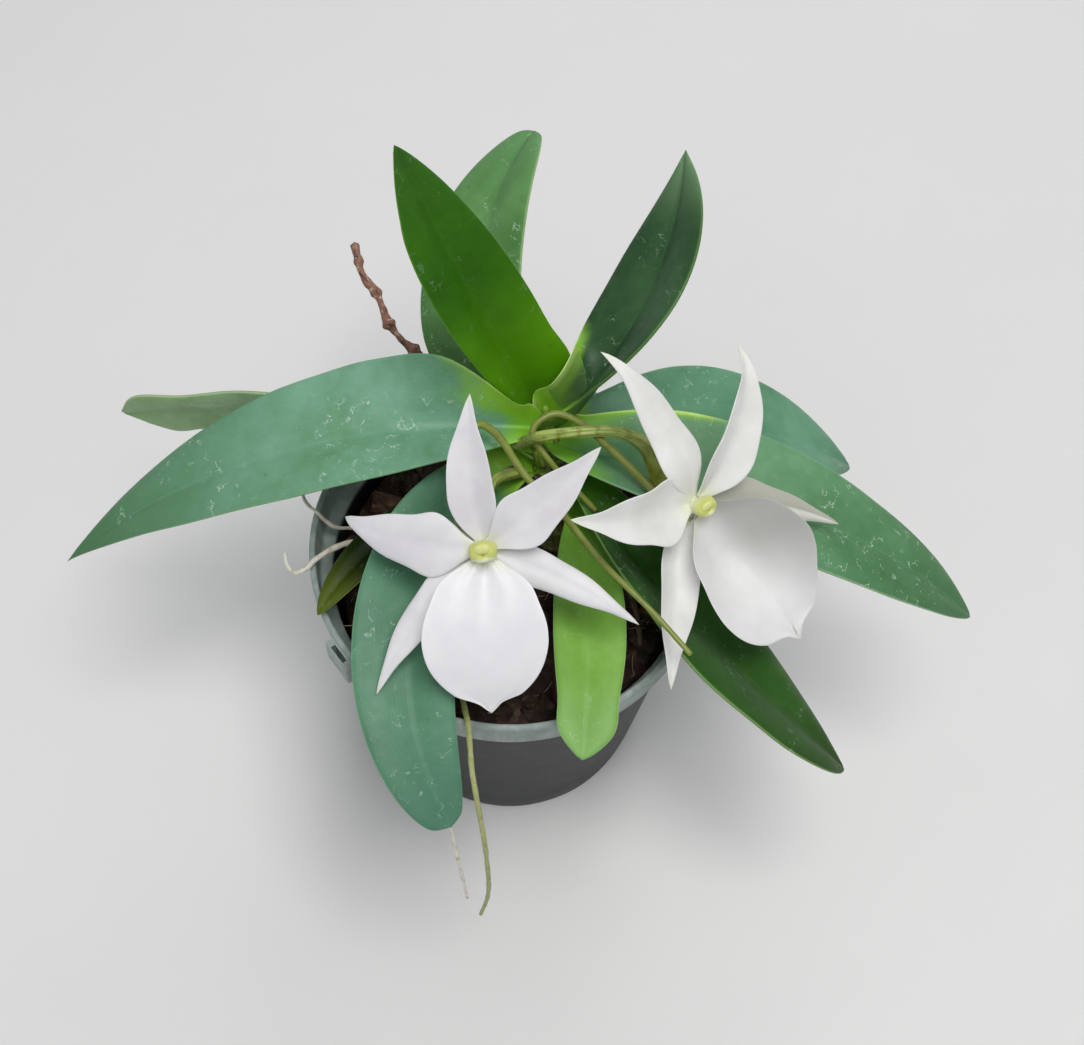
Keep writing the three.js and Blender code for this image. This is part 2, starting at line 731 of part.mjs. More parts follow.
function buildOrchid() {
  const orchid = new THREE.Group();
  orchid.add(piece('pot', potGeometry(), finishes.pot));
  orchid.add(piece('potting_mix', mixAroundPlant(), finishes.mix));
  CHIPS.forEach((chip, number) => {
    orchid.add(piece(`bark_chip_${number + 1}`, chipGeometry(chip, number), finishes.bark));
  });
  orchid.add(piece('stem', stemGeometry(), finishes.stem));
  ROOTS.forEach((root) => orchid.add(piece(root.name, rootGeometry(root), root.finish)));
  LEAVES.forEach((leaf) => {
    orchid.add(piece(leaf.name, bladeGeometry({ ...LEAF, ...leaf }), leaf.finish));
  });
  FLOWERS.forEach((flower, i) => {
    const group = buildFlower(flower);
    orchid.add(group);
    orchid.add(piece(STALKS[i].name, stalkGeometry(STALKS[i], group), finishes.stalk));
    orchid.add(piece(SPURS[i].name, spurGeometry(SPURS[i], group), finishes.spur));
  });
  orchid.add(piece('old_flower_stalk', oldStalkGeometry(), finishes.dead));
  BRACTS.forEach((bract, number) => {
    orchid.add(piece(`dried_bract_${number + 1}`, bractGeometry(bract), finishes.dead));
  });
  return orchid;
}

export default buildOrchid();
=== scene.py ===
import math
import random
from collections import defaultdict

import bmesh
import bpy
import numpy as np
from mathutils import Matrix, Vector, noise


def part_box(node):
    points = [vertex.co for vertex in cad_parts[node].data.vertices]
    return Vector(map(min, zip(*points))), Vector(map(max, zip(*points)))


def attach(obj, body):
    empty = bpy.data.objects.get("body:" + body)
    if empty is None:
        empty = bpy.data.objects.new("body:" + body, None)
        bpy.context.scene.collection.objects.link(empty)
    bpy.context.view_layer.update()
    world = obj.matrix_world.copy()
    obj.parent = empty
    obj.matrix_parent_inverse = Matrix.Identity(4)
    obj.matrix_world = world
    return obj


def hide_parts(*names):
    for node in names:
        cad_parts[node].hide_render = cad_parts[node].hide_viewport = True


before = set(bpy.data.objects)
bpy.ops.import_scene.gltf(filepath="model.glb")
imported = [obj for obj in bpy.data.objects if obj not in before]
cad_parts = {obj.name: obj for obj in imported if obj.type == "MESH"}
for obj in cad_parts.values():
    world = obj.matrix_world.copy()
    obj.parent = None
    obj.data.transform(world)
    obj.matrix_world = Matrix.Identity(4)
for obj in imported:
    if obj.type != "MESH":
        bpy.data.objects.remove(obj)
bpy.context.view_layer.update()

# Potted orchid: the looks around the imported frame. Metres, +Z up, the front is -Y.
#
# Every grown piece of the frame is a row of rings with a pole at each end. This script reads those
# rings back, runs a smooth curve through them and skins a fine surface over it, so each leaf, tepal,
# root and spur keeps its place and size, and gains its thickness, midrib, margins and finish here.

MM = 0.001
OUTWARD = np.array([0, -0.47, 0.88])  # up and to the front, the way the open flowers look


# ---- reading the frame ---------------------------------------------------------------------------

def corners(node):
    """A frame node's corners, each once, and for each corner the set of those next to it."""
    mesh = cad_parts[node].data
    places = {}
    index = []
    for vertex in mesh.vertices:
        key = tuple(round(c * 1e6) for c in vertex.co)
        index.append(places.setdefault(key, len(places)))
    neighbours = defaultdict(set)
    for edge in mesh.edges:
        a, b = index[edge.vertices[0]], index[edge.vertices[1]]
        if a != b:
            neighbours[a].add(b)
            neighbours[b].add(a)
    return np.array(list(places), float) / 1e6, neighbours


def layers_from(start, neighbours):
    """The corners in layers, by how many edges away from the start they are."""
    seen = {start}
    layers = [[start]]
    while True:
        step = sorted({n for v in layers[-1] for n in neighbours[v]} - seen)
        if not step:
            return layers
        seen |= set(step)
        layers.append(step)


def ring_order(layer, neighbours):
    """A layer's corners in order round the ring."""
    members = set(layer)
    ring = [layer[0]]
    while len(ring) < len(layer):
        ring.append(min(v for v in neighbours[ring[-1]] if v in members and v not in ring))
    return ring


def read_rings(node, near):
    """First pole, rings and last pole of a grown node, from the end that is nearer to a point."""
    points, neighbours = corners(node)
    for start in sorted(neighbours, key=lambda v: np.linalg.norm(points[v] - near)):
        count = len(neighbours[start])
        layers = layers_from(start, neighbours)
        if len(layers[-1]) == 1 and all(len(layer) == count for layer in layers[1:-1]):
            break
    rings = [points[ring_order(layer, neighbours)] for layer in layers[1:-1]]
    return points[start], rings, points[layers[-1][0]]


def node_centre(node):
    low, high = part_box(node)
    return (np.array(low) + np.array(high)) / 2


def unit(vector):
    vector = np.asarray(vector, float)
    return vector / np.maximum(np.linalg.norm(vector, axis=-1, keepdims=True), 1e-12)


def bell(value, centre, width):
    """A smooth hump: 1 at the centre, a third of that one width away, and soon nothing."""
    return np.exp(-(((value - centre) / width) ** 2))


def eased(value, low, high):
    """0 below `low`, 1 above `high`, smooth between."""
    t = np.clip((value - low) / (high - low), 0, 1)
    return t * t * (3 - 2 * t)


def travelled_share(middle):
    """How far along a line of points each one lies, from 0 to 1."""
    travelled = np.concatenate([[0], np.cumsum(np.linalg.norm(np.diff(middle, axis=0), axis=1))])
    return travelled / travelled[-1]


def smooth(rows, at):
    """Catmull-Rom curve through rows of values, read at fractional row numbers."""
    rows = np.asarray(rows, float)
    rows = rows.reshape(len(rows), -1)
    rows = np.vstack([2 * rows[0] - rows[1], rows, 2 * rows[-1] - rows[-2]])
    at = np.clip(np.asarray(at, float), 0, len(rows) - 3)
    i = np.minimum(at.astype(int), len(rows) - 4)
    t = (at - i)[:, None]
    a, b, c, d = rows[i], rows[i + 1], rows[i + 2], rows[i + 3]
    curve = 2 * b + (c - a) * t + (2 * a - 5 * b + 4 * c - d) * t**2 + (3 * b - a - 3 * c + d) * t**3
    return curve / 2


def blade_stations(node, near):
    """Per ring: midrib, left and right margin (seen along the blade, face up) and the face side."""
    _, rings, tip = read_rings(node, near)
    middles, pairs, faces = [], [], []
    for ring in rings:
        spans = [np.linalg.norm(ring[i] - ring[(i + 4) % 10]) for i in range(10)]
        i = int(np.argmax(spans))
        above, below = ring[(i + 2) % 10], ring[(i + 7) % 10]
        middles.append((above + below) / 2)
        pairs.append((ring[i], ring[(i + 4) % 10]))
        faces.append(unit(above - below))
    middles, faces = np.array(middles), np.array(faces)
    along = unit(np.gradient(np.vstack([middles, tip]), axis=0))[:-1]
    left, right = [], []
    for middle, (a, b), face, way in zip(middles, pairs, faces, along):
        is_left = np.dot(np.cross(way, a - middle), face) > 0
        left.append(a - middle if is_left else b - middle)
        right.append(b - middle if is_left else a - middle)
    return {"tip": tip, "middle": middles, "left": np.array(left), "right": np.array(right), "face": faces}


# ---- meshes --------------------------------------------------------------------------------------

def new_object(name, points, faces, attributes=None, shade_smooth=True):
    """A mesh object with its own float values per point."""
    mesh = bpy.data.meshes.new(name)
    mesh.from_pydata([tuple(p) for p in points], [], faces)
    for key, values in (attributes or {}).items():
        layer = mesh.attributes.new(key, "FLOAT", "POINT")
        layer.data.foreach_set("value", np.asarray(values, np.float32))
    mesh.update()
    if shade_smooth:
        mesh.polygons.foreach_set("use_smooth", [True] * len(mesh.polygons))
    thing = bpy.data.objects.new(name, mesh)
    bpy.context.scene.collection.objects.link(thing)
    return thing


def skin(name, rows, first, last, attributes):
    """Closed quads over rows of points, with a fan at each end."""
    count, width = rows.shape[:2]
    points = np.vstack([rows.reshape(-1, 3), first, last])
    faces = []
    for i in range(count - 1):
        for j in range(width):
            k = (j + 1) % width
            faces.append((i * width + j, i * width + k, (i + 1) * width + k, (i + 1) * width + j))
    start, end = count * width, count * width + 1
    for j in range(width):
        k = (j + 1) % width
        faces.append((k, j, start))
        faces.append(((count - 1) * width + j, (count - 1) * width + k, end))
    values = {}
    for key, value in attributes.items():
        value = np.broadcast_to(value, (count, width))
        values[key] = np.concatenate([value.ravel(), [value[0].mean(), value[-1].mean()]])
    thing = new_object(name, points, faces, values)
    outward(thing)
    return thing


def outward(thing):
    """Turns all of a closed mesh's faces to the outside."""
    shape = bmesh.new()
    shape.from_mesh(thing.data)
    bmesh.ops.recalc_face_normals(shape, faces=shape.faces)
    if shape.calc_volume(signed=True) < 0:
        bmesh.ops.reverse_faces(shape, faces=shape.faces)
    shape.to_mesh(thing.data)
    shape.free()


def placed(thing, material, slot, *nodes):
    """Gives a piece its material and lets it stand for frame nodes; its `slot` is not used."""
    thing.data.materials.clear()
    thing.data.materials.append(material)
    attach(thing, "root")
    if nodes:
        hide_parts(*nodes)
    return thing


def soft_noise(points, scale, seed):
    """Smooth noise from -1 to 1 at each point, at a size in millimetres."""
    offset = Vector((seed * 17.3, seed * 5.1, seed * 9.7))
    return np.array([noise.noise(Vector(p) / (scale * MM) + offset) for p in points])


# ---- blades: leaves, sepals, petals, lips, bracts ------------------------------------------------

RIB_WIDTH = 1.3 * MM
BLADE_LOOK = {"crease": 0.7, "arch": 0, "cup": 0, "keel": 0.6, "wave_size": 22}


def with_foot(stations, toward, share, fold):
    """Two more stations, so that a blade runs on into what it grew from, with its margins folded up."""
    middle = stations["middle"][0]
    gap = np.asarray(toward, float) - middle
    extra = {"middle": [middle + gap, middle + 0.5 * gap]}
    for side in ("left", "right"):
        edge = stations[side][0]
        rise = np.linalg.norm(edge) * fold * stations["face"][0]
        extra[side] = [0.3 * share * edge + 0.5 * rise, 0.5 * (1 + share) * edge + 0.6 * rise]
    extra["face"] = [stations["face"][0]] * 2
    grown = dict(stations)
    for key, rows in extra.items():
        grown[key] = np.vstack([rows, stations[key]])
    return grown


def cross_section(across):
    """Once round a blade's section: -1 to 1 over the width, and 1 above, 0 below, a half at the margins."""
    half = np.sin(np.linspace(0, math.pi / 2, across + 1))
    over = np.concatenate([half[::-1], -half[1:]])
    v = np.concatenate([over, over[-2:0:-1]])
    upper = np.concatenate([np.ones(len(over)), np.zeros(len(over) - 2)])
    upper[0] = upper[len(over) - 1] = 0.5
    return v, upper


def skin_offset(look, share, reach, upper, along):
    """How far the skin stands off a blade's middle sheet: its body, the groove above, the keel below."""
    body = look["thickness"] * MM * (1 - 0.4 * along**2)
    body = np.minimum(body, 0.9 * reach + 0.05 * MM)
    power = np.clip(1.8 * reach / np.maximum(body, 1e-5), 2, 40)
    offset = (upper - 0.5) * body * np.sqrt(np.maximum(0, 1 - share**power))
    rib = bell(share * reach, 0, RIB_WIDTH) * (1 - 0.7 * along)
    return offset - rib * MM * np.where(upper > 0.5, look["groove"], look["keel"])


def sheet_height(look, share, lift, reach, along):
    """Height of a blade's middle sheet: its crease, its arch over each half and its cupped margins."""
    rounded_crease = (np.sqrt(share**2 + 0.02) - 0.141) / 0.869
    bend = look["crease"] * rounded_crease + (1 - look["crease"]) * share**2
    arch = look["arch"] * MM * np.sin(math.pi * share) * np.minimum(1, reach / (8 * MM))
    cup = look["cup"] * MM * share**2 * np.sin(math.pi * np.minimum(1, along * 1.02) ** 0.8)
    return lift * bend + arch + cup


def blade(name, stations, look, lengthwise, across):
    """The fine skin of a blade: rounded margins, a groove along the midrib, a keel below."""
    look = {**BLADE_LOOK, **look}
    at = np.linspace(0, len(stations["middle"]) - 0.02, lengthwise)
    tip = stations["tip"]
    middle = smooth(np.vstack([stations["middle"], tip]), at)
    left = smooth(np.vstack([stations["left"], 0 * tip]), at)
    right = smooth(np.vstack([stations["right"], 0 * tip]), at)
    face = unit(smooth(np.vstack([stations["face"], stations["face"][-1]]), at))[:, None]
    along = travelled_share(middle)[:, None]
    if "widen" in look:
        left, right = left * look["widen"](along), right * look["widen"](along)

    v, upper = cross_section(across)
    edge = np.where((v > 0)[None, :, None], left[:, None], right[:, None])
    lift = (edge * face).sum(2)
    flat = edge - lift[..., None] * face
    reach = np.linalg.norm(edge, axis=2)
    share = np.abs(v)[None, :]
    height = sheet_height(look, share, lift, reach, along) + skin_offset(look, share, reach, upper, along)
    sheet = middle[:, None] + flat * share[..., None]
    bumps = soft_noise(sheet.reshape(-1, 3), look["wave_size"], look["seed"]).reshape(reach.shape)
    height = height + look["wave"] * MM * bumps * (0.35 + share)
    rows = sheet + height[..., None] * face
    if "shape" in look:
        side = unit(np.cross(face[:, 0], np.gradient(middle, axis=0)))[:, None]
        rows = look["shape"](rows, along, v[None, :], face, side)
    values = {"along": along, "across": v[None, :], "upper": upper[None, :]}
    return skin(name, rows, rows[0].mean(0), tip, values)


# ---- tubes: stem, roots, stalks, spurs -----------------------------------------------------------

TUBE_LOOK = {"ribs": 0, "twist": 0, "lumps": 0, "lump_size": 3, "seed": 3}
RIB_COUNT = 6


def side_ways(tangent):
    """Two directions across a tube at each point, carried along it without twisting."""
    normals = [unit(np.cross(tangent[0], [0.3, 0.5, 0.81]))]
    for way in tangent[1:]:
        previous = normals[-1]
        normals.append(unit(previous - way * np.dot(previous, way)))
    normals = np.array(normals)
    return normals, np.cross(tangent, normals)


def tube(name, node, near, radius_of, look, sides, lengthwise):
    """The fine skin of a grown tube, through its own ring centres, with its own thickness."""
    look = {**TUBE_LOOK, **look}
    rings = read_rings(node, near)[1]
    centres = np.array([ring.mean(0) for ring in rings])
    radii = np.array([np.linalg.norm(ring - ring.mean(0), axis=1).mean() for ring in rings])
    at = np.linspace(0, len(centres) - 1, lengthwise)
    middle = smooth(centres, at)
    along = travelled_share(middle)
    if "lift" in look:
        middle = middle + look["lift"](along)
    radius = radius_of(along, smooth(radii, at)[:, 0])
    tangent = unit(np.gradient(middle, axis=0))
    normals, binormals = side_ways(tangent)
    angle = np.linspace(0, 2 * math.pi, sides, endpoint=False)[None, :]
    twist = math.radians(look["twist"]) * along[:, None]
    size = radius[:, None] * (1 + look["ribs"] * np.cos(RIB_COUNT * (angle + twist)))
    direction = np.cos(angle)[..., None] * normals[:, None] + np.sin(angle)[..., None] * binormals[:, None]
    rows = middle[:, None] + size[..., None] * direction
    if look["lumps"]:
        bump = soft_noise(rows.reshape(-1, 3), look["lump_size"], look["seed"])
        rows = rows + (look["lumps"] * MM * bump.reshape(size.shape))[..., None] * direction
    first = middle[0] - tangent[0] * radius[0] * 0.5
    last = middle[-1] + tangent[-1] * radius[-1] * 0.6
    values = {"along": along[:, None], "across": np.sin(angle), "around": angle / (2 * math.pi)}
    return skin(name, rows, first, last, values)


# ---- materials -----------------------------------------------------------------------------------

class Paint:
    """A node material, with short names for the nodes that this scene uses."""

    def __init__(self, name, **shader):
        self.material = bpy.data.materials.new(name)
        self.material.use_nodes = True
        self.tree = self.material.node_tree
        self.shader = self.tree.nodes["Principled BSDF"]
        for key, value in shader.items():
            self.set(key, value)

    def set(self, key, value):
        socket = self.shader.inputs[key.replace("_", " ")]
        if isinstance(value, bpy.types.NodeSocket):
            self.tree.links.new(value, socket)
        else:
            socket.default_value = value

    def add(self, kind, inputs=None, **settings):
        node = self.tree.nodes.new(kind)
        for key, value in settings.items():
            setattr(node, key, value)
        for key, value in (inputs or {}).items():
            if isinstance(value, bpy.types.NodeSocket):
                self.tree.links.new(value, node.inputs[key])
            else:
                node.inputs[key].default_value = value
        return node

    def value(self, name):
        return self.add("ShaderNodeAttribute", attribute_name=name).outputs["Fac"]

    def place(self, stretch=(1, 1, 1)):
        """Object position in millimetres, stretched."""
        spot = self.add("ShaderNodeTexCoord").outputs["Object"]
        scale = tuple(1000 * s for s in stretch)
        return self.add("ShaderNodeMapping", {"Vector": spot, "Scale": scale}).outputs["Vector"]

    def noise(self, size, detail=3, rough=0.55, vector=None):
        """Noise whose blobs are about `size` millimetres."""
        inputs = {"Vector": vector or self.place(), "Scale": 1 / size, "Detail": detail, "Roughness": rough}
        return self.add("ShaderNodeTexNoise", inputs).outputs["Fac"]

    def cells(self, size, vector=None, feature="F1"):
        """Distance to the nearest cell's point, or to its edge, with cells about `size` millimetres."""
        inputs = {"Vector": vector or self.place(), "Scale": 1 / size}
        return self.add("ShaderNodeTexVoronoi", inputs, feature=feature).outputs["Distance"]

    def math(self, operation, a, b=0.0):
        return self.add("ShaderNodeMath", {0: a, 1: b}, operation=operation).outputs[0]

    def times(self, a, b):
        return self.math("MULTIPLY", a, b)

    def plus(self, a, b):
        return self.math("ADD", a, b)

    def step(self, value, low, high):
        """0 below `low`, 1 above `high`, smooth between; the other way round if low > high."""
        inputs = {"Value": value, "From Min": low, "From Max": high}
        return self.add("ShaderNodeMapRange", inputs, interpolation_type="SMOOTHSTEP").outputs["Result"]

    def mix(self, factor, a, b):
        """Colour a, turning into b as the factor goes from 0 to 1."""
        a, b = (c if isinstance(c, bpy.types.NodeSocket) else (*c, 1) for c in (a, b))
        return self.add("ShaderNodeMix", {0: factor, 6: a, 7: b}, data_type="RGBA").outputs[2]

    def ramp(self, factor, stops):
        node = self.add("ShaderNodeValToRGB", {"Fac": factor})
        elements = node.color_ramp.elements
        while len(elements) < len(stops):
            elements.new(0.5)
        for element, (position, colour) in zip(elements, stops):
            element.position = position
            element.color = (*colour, 1)
        return node.outputs["Color"]

    def bump(self, height, depth, strength=1.0, normal=None):
        """Height from 0 to 1 as relief `depth` millimetres deep."""
        inputs = {"Height": height, "Distance": depth * MM, "Strength": strength}
        if normal:
            inputs["Normal"] = normal
        return self.add("ShaderNodeBump", inputs).outputs["Normal"]

    def glow(self, weight, radius, scale):
        """Light that passes a little way through the flesh of the plant."""
        self.set("Subsurface_Weight", weight)
        self.set("Subsurface_Radius", radius)
        self.set("Subsurface_Scale", scale)


def leaf_material(name, look):
    """Waxy leaf: lime foot, mottled face, pale midrib and margins, scratches and flecks."""
    paint = Paint(name, IOR=1.45, Specular_IOR_Level=look["shine"])
    across = paint.value("across")
    marks = leaf_marks(paint, look["flecks"])
    colour = leaf_ground(paint, look, paint.value("along"), across)
    colour = paint.mix(marks, colour, (0.55, 0.68, 0.56))
    spots = paint.step(paint.cells(7.5), 0.11, 0.06)
    spots = paint.times(spots, paint.step(paint.noise(19, 2), 0.52, 0.62))
    colour = paint.mix(paint.times(spots, look["spots"]), colour, (0.03, 0.05, 0.01))
    under = paint.mix(0.55, colour, look["under"])
    paint.set("Base_Color", paint.mix(paint.step(paint.value("upper"), 0.55, 0.35), colour, under))

    gloss = paint.plus(look["rough"], paint.times(paint.noise(3, 4), 0.18))
    paint.set("Roughness", paint.plus(gloss, paint.times(marks, 0.25)))
    fine = paint.bump(paint.noise(0.9, 3), 0.05, 0.5)
    lengthwise = paint.bump(leaf_veins(paint, across), 0.02, 0.25, fine)
    paint.set("Normal", paint.bump(paint.noise(6, 3), 0.25, 0.45, lengthwise))
    paint.glow(0.08, (0.35, 1.0, 0.15), 0.0012)
    return paint.material


def leaf_veins(paint, across):
    """Fine veins that run the length of a leaf, from -1 to 1."""
    return paint.math("SINE", paint.times(across, 90.0))


def leaf_ground(paint, look, along, across):
    """A leaf's colour: mottled, darker or paler at the tip, lime at its foot and rim. Where the dark tip
    starts early, it is painted shade.
    """
    edge = paint.math("ABSOLUTE", across)
    tone = paint.plus(paint.times(paint.noise(26, 4, 0.6), 0.75), paint.times(paint.noise(5, 5, 0.65), 0.25))
    colour = paint.ramp(tone, [(0.3, look["dark"]), (0.52, look["main"]), (0.74, look["light"])])
    tip = paint.step(along, look["tip_start"], 1.0)
    colour = paint.mix(paint.times(tip, look["tip_share"]), colour, look["tip"])
    wobble = paint.times(paint.math("SUBTRACT", paint.noise(9, 3), 0.5), 0.12)
    reach = paint.math("SUBTRACT", paint.plus(along, wobble), paint.times(edge, look["foot_edge"]))
    foot = paint.step(reach, look["foot_end"], look["foot_end"] * 0.3)
    colour = paint.mix(foot, colour, look["foot"])

    veins = paint.step(leaf_veins(paint, across), 0.2, 1.0)
    colour = paint.mix(paint.times(veins, 0.05), colour, look["light"])
    colour = paint.mix(paint.times(paint.step(edge, 0.05, 0.0), look["midrib"]), colour, look["light"])
    colour = paint.mix(paint.times(paint.step(edge, 0.965, 0.995), look["margin"]), colour, look["rim"])
    if "band" in look:
        half, inner, end = look["band"]
        from_midrib = paint.times(across, half)
        near = paint.step(reach, end, end - 0.12)
        inside = paint.step(from_midrib, inner, min(0.98, inner + 0.3))
        colour = paint.mix(paint.times(inside, near), colour, LIME)
        colour = paint.mix(paint.times(paint.step(from_midrib, 0.9, 0.97), near), colour, (0.55, 0.78, 0.2))
    return colour


def leaf_marks(paint, amount):
    """White scratches and flecks in loose clusters, from 0 to 1."""
    cluster = paint.step(paint.noise(22, 3, 0.6), 0.46, 0.6)
    dots = paint.step(paint.cells(2.6), 0.1, 0.04)
    specks = paint.step(paint.cells(1.3), 0.12, 0.04)
    spot = paint.place()
    bend = paint.add("ShaderNodeTexNoise", {"Vector": spot, "Scale": 0.3, "Detail": 3}).outputs["Color"]
    bent = paint.add("ShaderNodeVectorMath", {0: bend, 1: (7, 7, 7), 2: spot}, operation="MULTIPLY_ADD")
    near_line = paint.cells(5.0, bent.outputs[0], "DISTANCE_TO_EDGE")
    broken = paint.step(paint.noise(3.2, 2), 0.53, 0.6)
    scratch = paint.times(paint.step(near_line, 0.03, 0.012), broken)
    marks = paint.math("MAXIMUM", dots, paint.math("MAXIMUM", scratch, paint.times(specks, 0.6)))
    marks = paint.math("MAXIMUM", paint.times(marks, cluster), paint.times(dots, 0.25))
    return paint.times(marks, amount)


def petal_material(name, white, tip, throat, shade, outside=None, hollow=None):
    """Thin fleshy white petal with a fine sparkle, a green tip and a yellow-green foot."""
    paint = Paint(name, Roughness=0.5, IOR=1.38, Sheen_Weight=0.12, Sheen_Roughness=0.5)
    along, across, upper = paint.value("along"), paint.value("across"), paint.value("upper")
    edge = paint.math("ABSOLUTE", across)
    colour = paint.ramp(paint.noise(13, 3), [(0.3, shade), (0.62, white)])
    colour = paint.mix(paint.times(paint.step(along, 0.88, 1.0), 0.75), colour, tip)
    colour = paint.mix(paint.times(paint.step(along, 0.15, 0.0), 0.8), colour, throat)
    back = paint.times(paint.step(upper, 0.55, 0.35), paint.step(edge, 0.35, 0.0))
    colour = paint.mix(paint.times(back, 0.35), colour, throat)
    # Partly painted shade: one half turns darker greenish grey, partly the outer face's own tint and partly
    # the shade on that side of the fold.
    if outside:
        colour = paint.mix(paint.times(paint.step(across, -0.02, 0.12), 0.85), colour, outside)
    # Painted shade: greys one half of a lip from its foot to past its middle, for the shadow in its
    # spoon-shaped hollow under the raised wall.
    if hollow:
        deep = paint.times(paint.step(across, -0.3, 0.5), paint.step(along, 0.8, 0.3))
        colour = paint.mix(paint.times(deep, 0.9), colour, hollow)
    paint.set("Base_Color", colour)
    sparkle = paint.cells(0.42)
    relief = paint.bump(sparkle, 0.035, 0.55)
    paint.set("Normal", paint.bump(paint.noise(4, 3), 0.2, 0.35, relief))
    paint.glow(0.15, (1.0, 0.95, 0.85), 0.0016)
    return paint.material


def tube_material(name, start, end, dark, rough, relief, stripes=0, fleck=None, glow=0.0, reach=1.0):
    """Green or brown tissue whose colour runs from its foot to its tip."""
    paint = Paint(name, Roughness=rough, IOR=1.42)
    colour = paint.mix(paint.step(paint.value("along"), 0, reach), start, end)
    colour = paint.mix(paint.step(paint.noise(3, 4, 0.6), 0.55, 0.3), colour, dark)
    if stripes:
        rib = paint.math("SINE", paint.times(paint.value("around"), 2 * math.pi * stripes))
        colour = paint.mix(paint.times(paint.step(rib, -0.2, -1.0), 0.5), colour, dark)
    if fleck:
        patches = paint.step(paint.noise(1.1, 4, 0.7), 0.56, 0.66)
        colour = paint.mix(paint.times(patches, 0.7), colour, fleck)
    paint.set("Base_Color", colour)
    paint.set("Normal", paint.bump(paint.noise(1.0, 5, 0.65), relief, 0.7))
    paint.glow(glow, (0.6, 0.9, 0.3), 0.001)
    return paint.material


def column_material(name, back, middle, front):
    """Waxy tissue, whitish where it joins the flower, lime inside and pale along its front edge."""
    paint = Paint(name, Roughness=0.38, IOR=1.42)
    along, across = paint.value("along"), paint.value("across")
    colour = paint.ramp(along, [(0.3, back), (0.7, middle)])
    colour = paint.mix(paint.step(across, -0.3, -0.7), colour, front)
    paint.set("Base_Color", colour)
    paint.set("Normal", paint.bump(paint.noise(1.5, 4), 0.06, 0.5))
    paint.glow(0.25, (0.9, 0.9, 0.4), 0.0015)
    return paint.material


def bark_material(name, dark, main, light):
    """Broken fir bark: cork layers, pale fibres and damp dark faces."""
    paint = Paint(name, Roughness=0.85, IOR=1.4)
    layers = paint.noise(1.6, 5, 0.7, paint.place((0.35, 0.35, 1.8)))
    colour = paint.ramp(layers, [(0.32, dark), (0.55, main), (0.72, light)])
    dust = paint.step(paint.noise(2.6, 5, 0.75), 0.6, 0.72)
    colour = paint.mix(paint.times(dust, 0.3), colour, light)
    paint.set("Base_Color", colour)
    damp = paint.step(paint.noise(12, 2), 0.42, 0.6)
    paint.set("Roughness", paint.plus(0.55, paint.times(damp, 0.35)))
    relief = paint.bump(layers, 0.8, 0.8)
    paint.set("Normal", paint.bump(paint.noise(0.5, 4, 0.7), 0.2, 0.6, relief))
    return paint.material


def plastic_material():
    """Smoky translucent polypropylene, scuffed: its collar paler, partly frosted and partly painted light
    passing through it, and its wall over the dark mix near black, as painted shade.
    """
    paint = Paint("smoky_plastic", IOR=1.47, Specular_IOR_Level=0.14)
    spot = paint.add("ShaderNodeTexCoord").outputs["Object"]
    level = paint.add("ShaderNodeSeparateXYZ", {"Vector": spot}).outputs["Z"]
    shoulder = pot_sizes()[1] - COLLAR
    collar = paint.step(level, shoulder - 1.5 * MM, shoulder + 2.5 * MM)
    dust = paint.noise(9, 5, 0.65)
    streak = paint.noise(3, 4, 0.6, paint.place((1, 1, 0.12)))
    mix = paint.plus(paint.times(dust, 0.6), paint.times(streak, 0.4))
    # Painted light: the collar's pale grey-green is partly its frosted finish and partly light passing
    # through it.
    lit_frosted_collar = paint.ramp(mix, [(0.3, (0.22, 0.28, 0.26)), (0.5, (0.38, 0.45, 0.425)), (0.7, (0.6, 0.66, 0.63))])
    # Painted shade: over the mix the wall is near black, for the dark mix seen through it.
    dark, grey, dusty = (0.008, 0.010, 0.009), (0.016, 0.019, 0.018), (0.04, 0.046, 0.044)
    shaded_smoky_body = paint.ramp(mix, [(0.3, dark), (0.5, grey), (0.72, dusty)])
    paint.set("Base_Color", paint.mix(collar, shaded_smoky_body, lit_frosted_collar))
    rough = paint.plus(0.25, paint.times(mix, 0.3))
    paint.set("Roughness", paint.plus(rough, paint.times(collar, 0.12)))
    paint.set("Transmission_Weight", paint.plus(0.1, paint.times(collar, 0.15)))
    relief = paint.bump(paint.noise(1.2, 4, 0.6), 0.05, 0.4)
    paint.set("Normal", paint.bump(paint.noise(14, 2), 0.5, 0.35, relief))
    return paint.material


# ---- leaves --------------------------------------------------------------------------------------

LIME = (0.27, 0.56, 0.035)
LEAF_LOOK = dict(
    thickness=2.1, arch=1.2, wave=0.6, groove=0.18, broad=0.15, blunt=0, trim={}, under=(0.12, 0.2, 0.07),
    shine=0.36, rough=0.38, midrib=0.1, margin=0.75, spots=0.25, foot=LIME, foot_end=0.2, foot_edge=0.07,
    tip_start=0.72, tip_share=0.6)

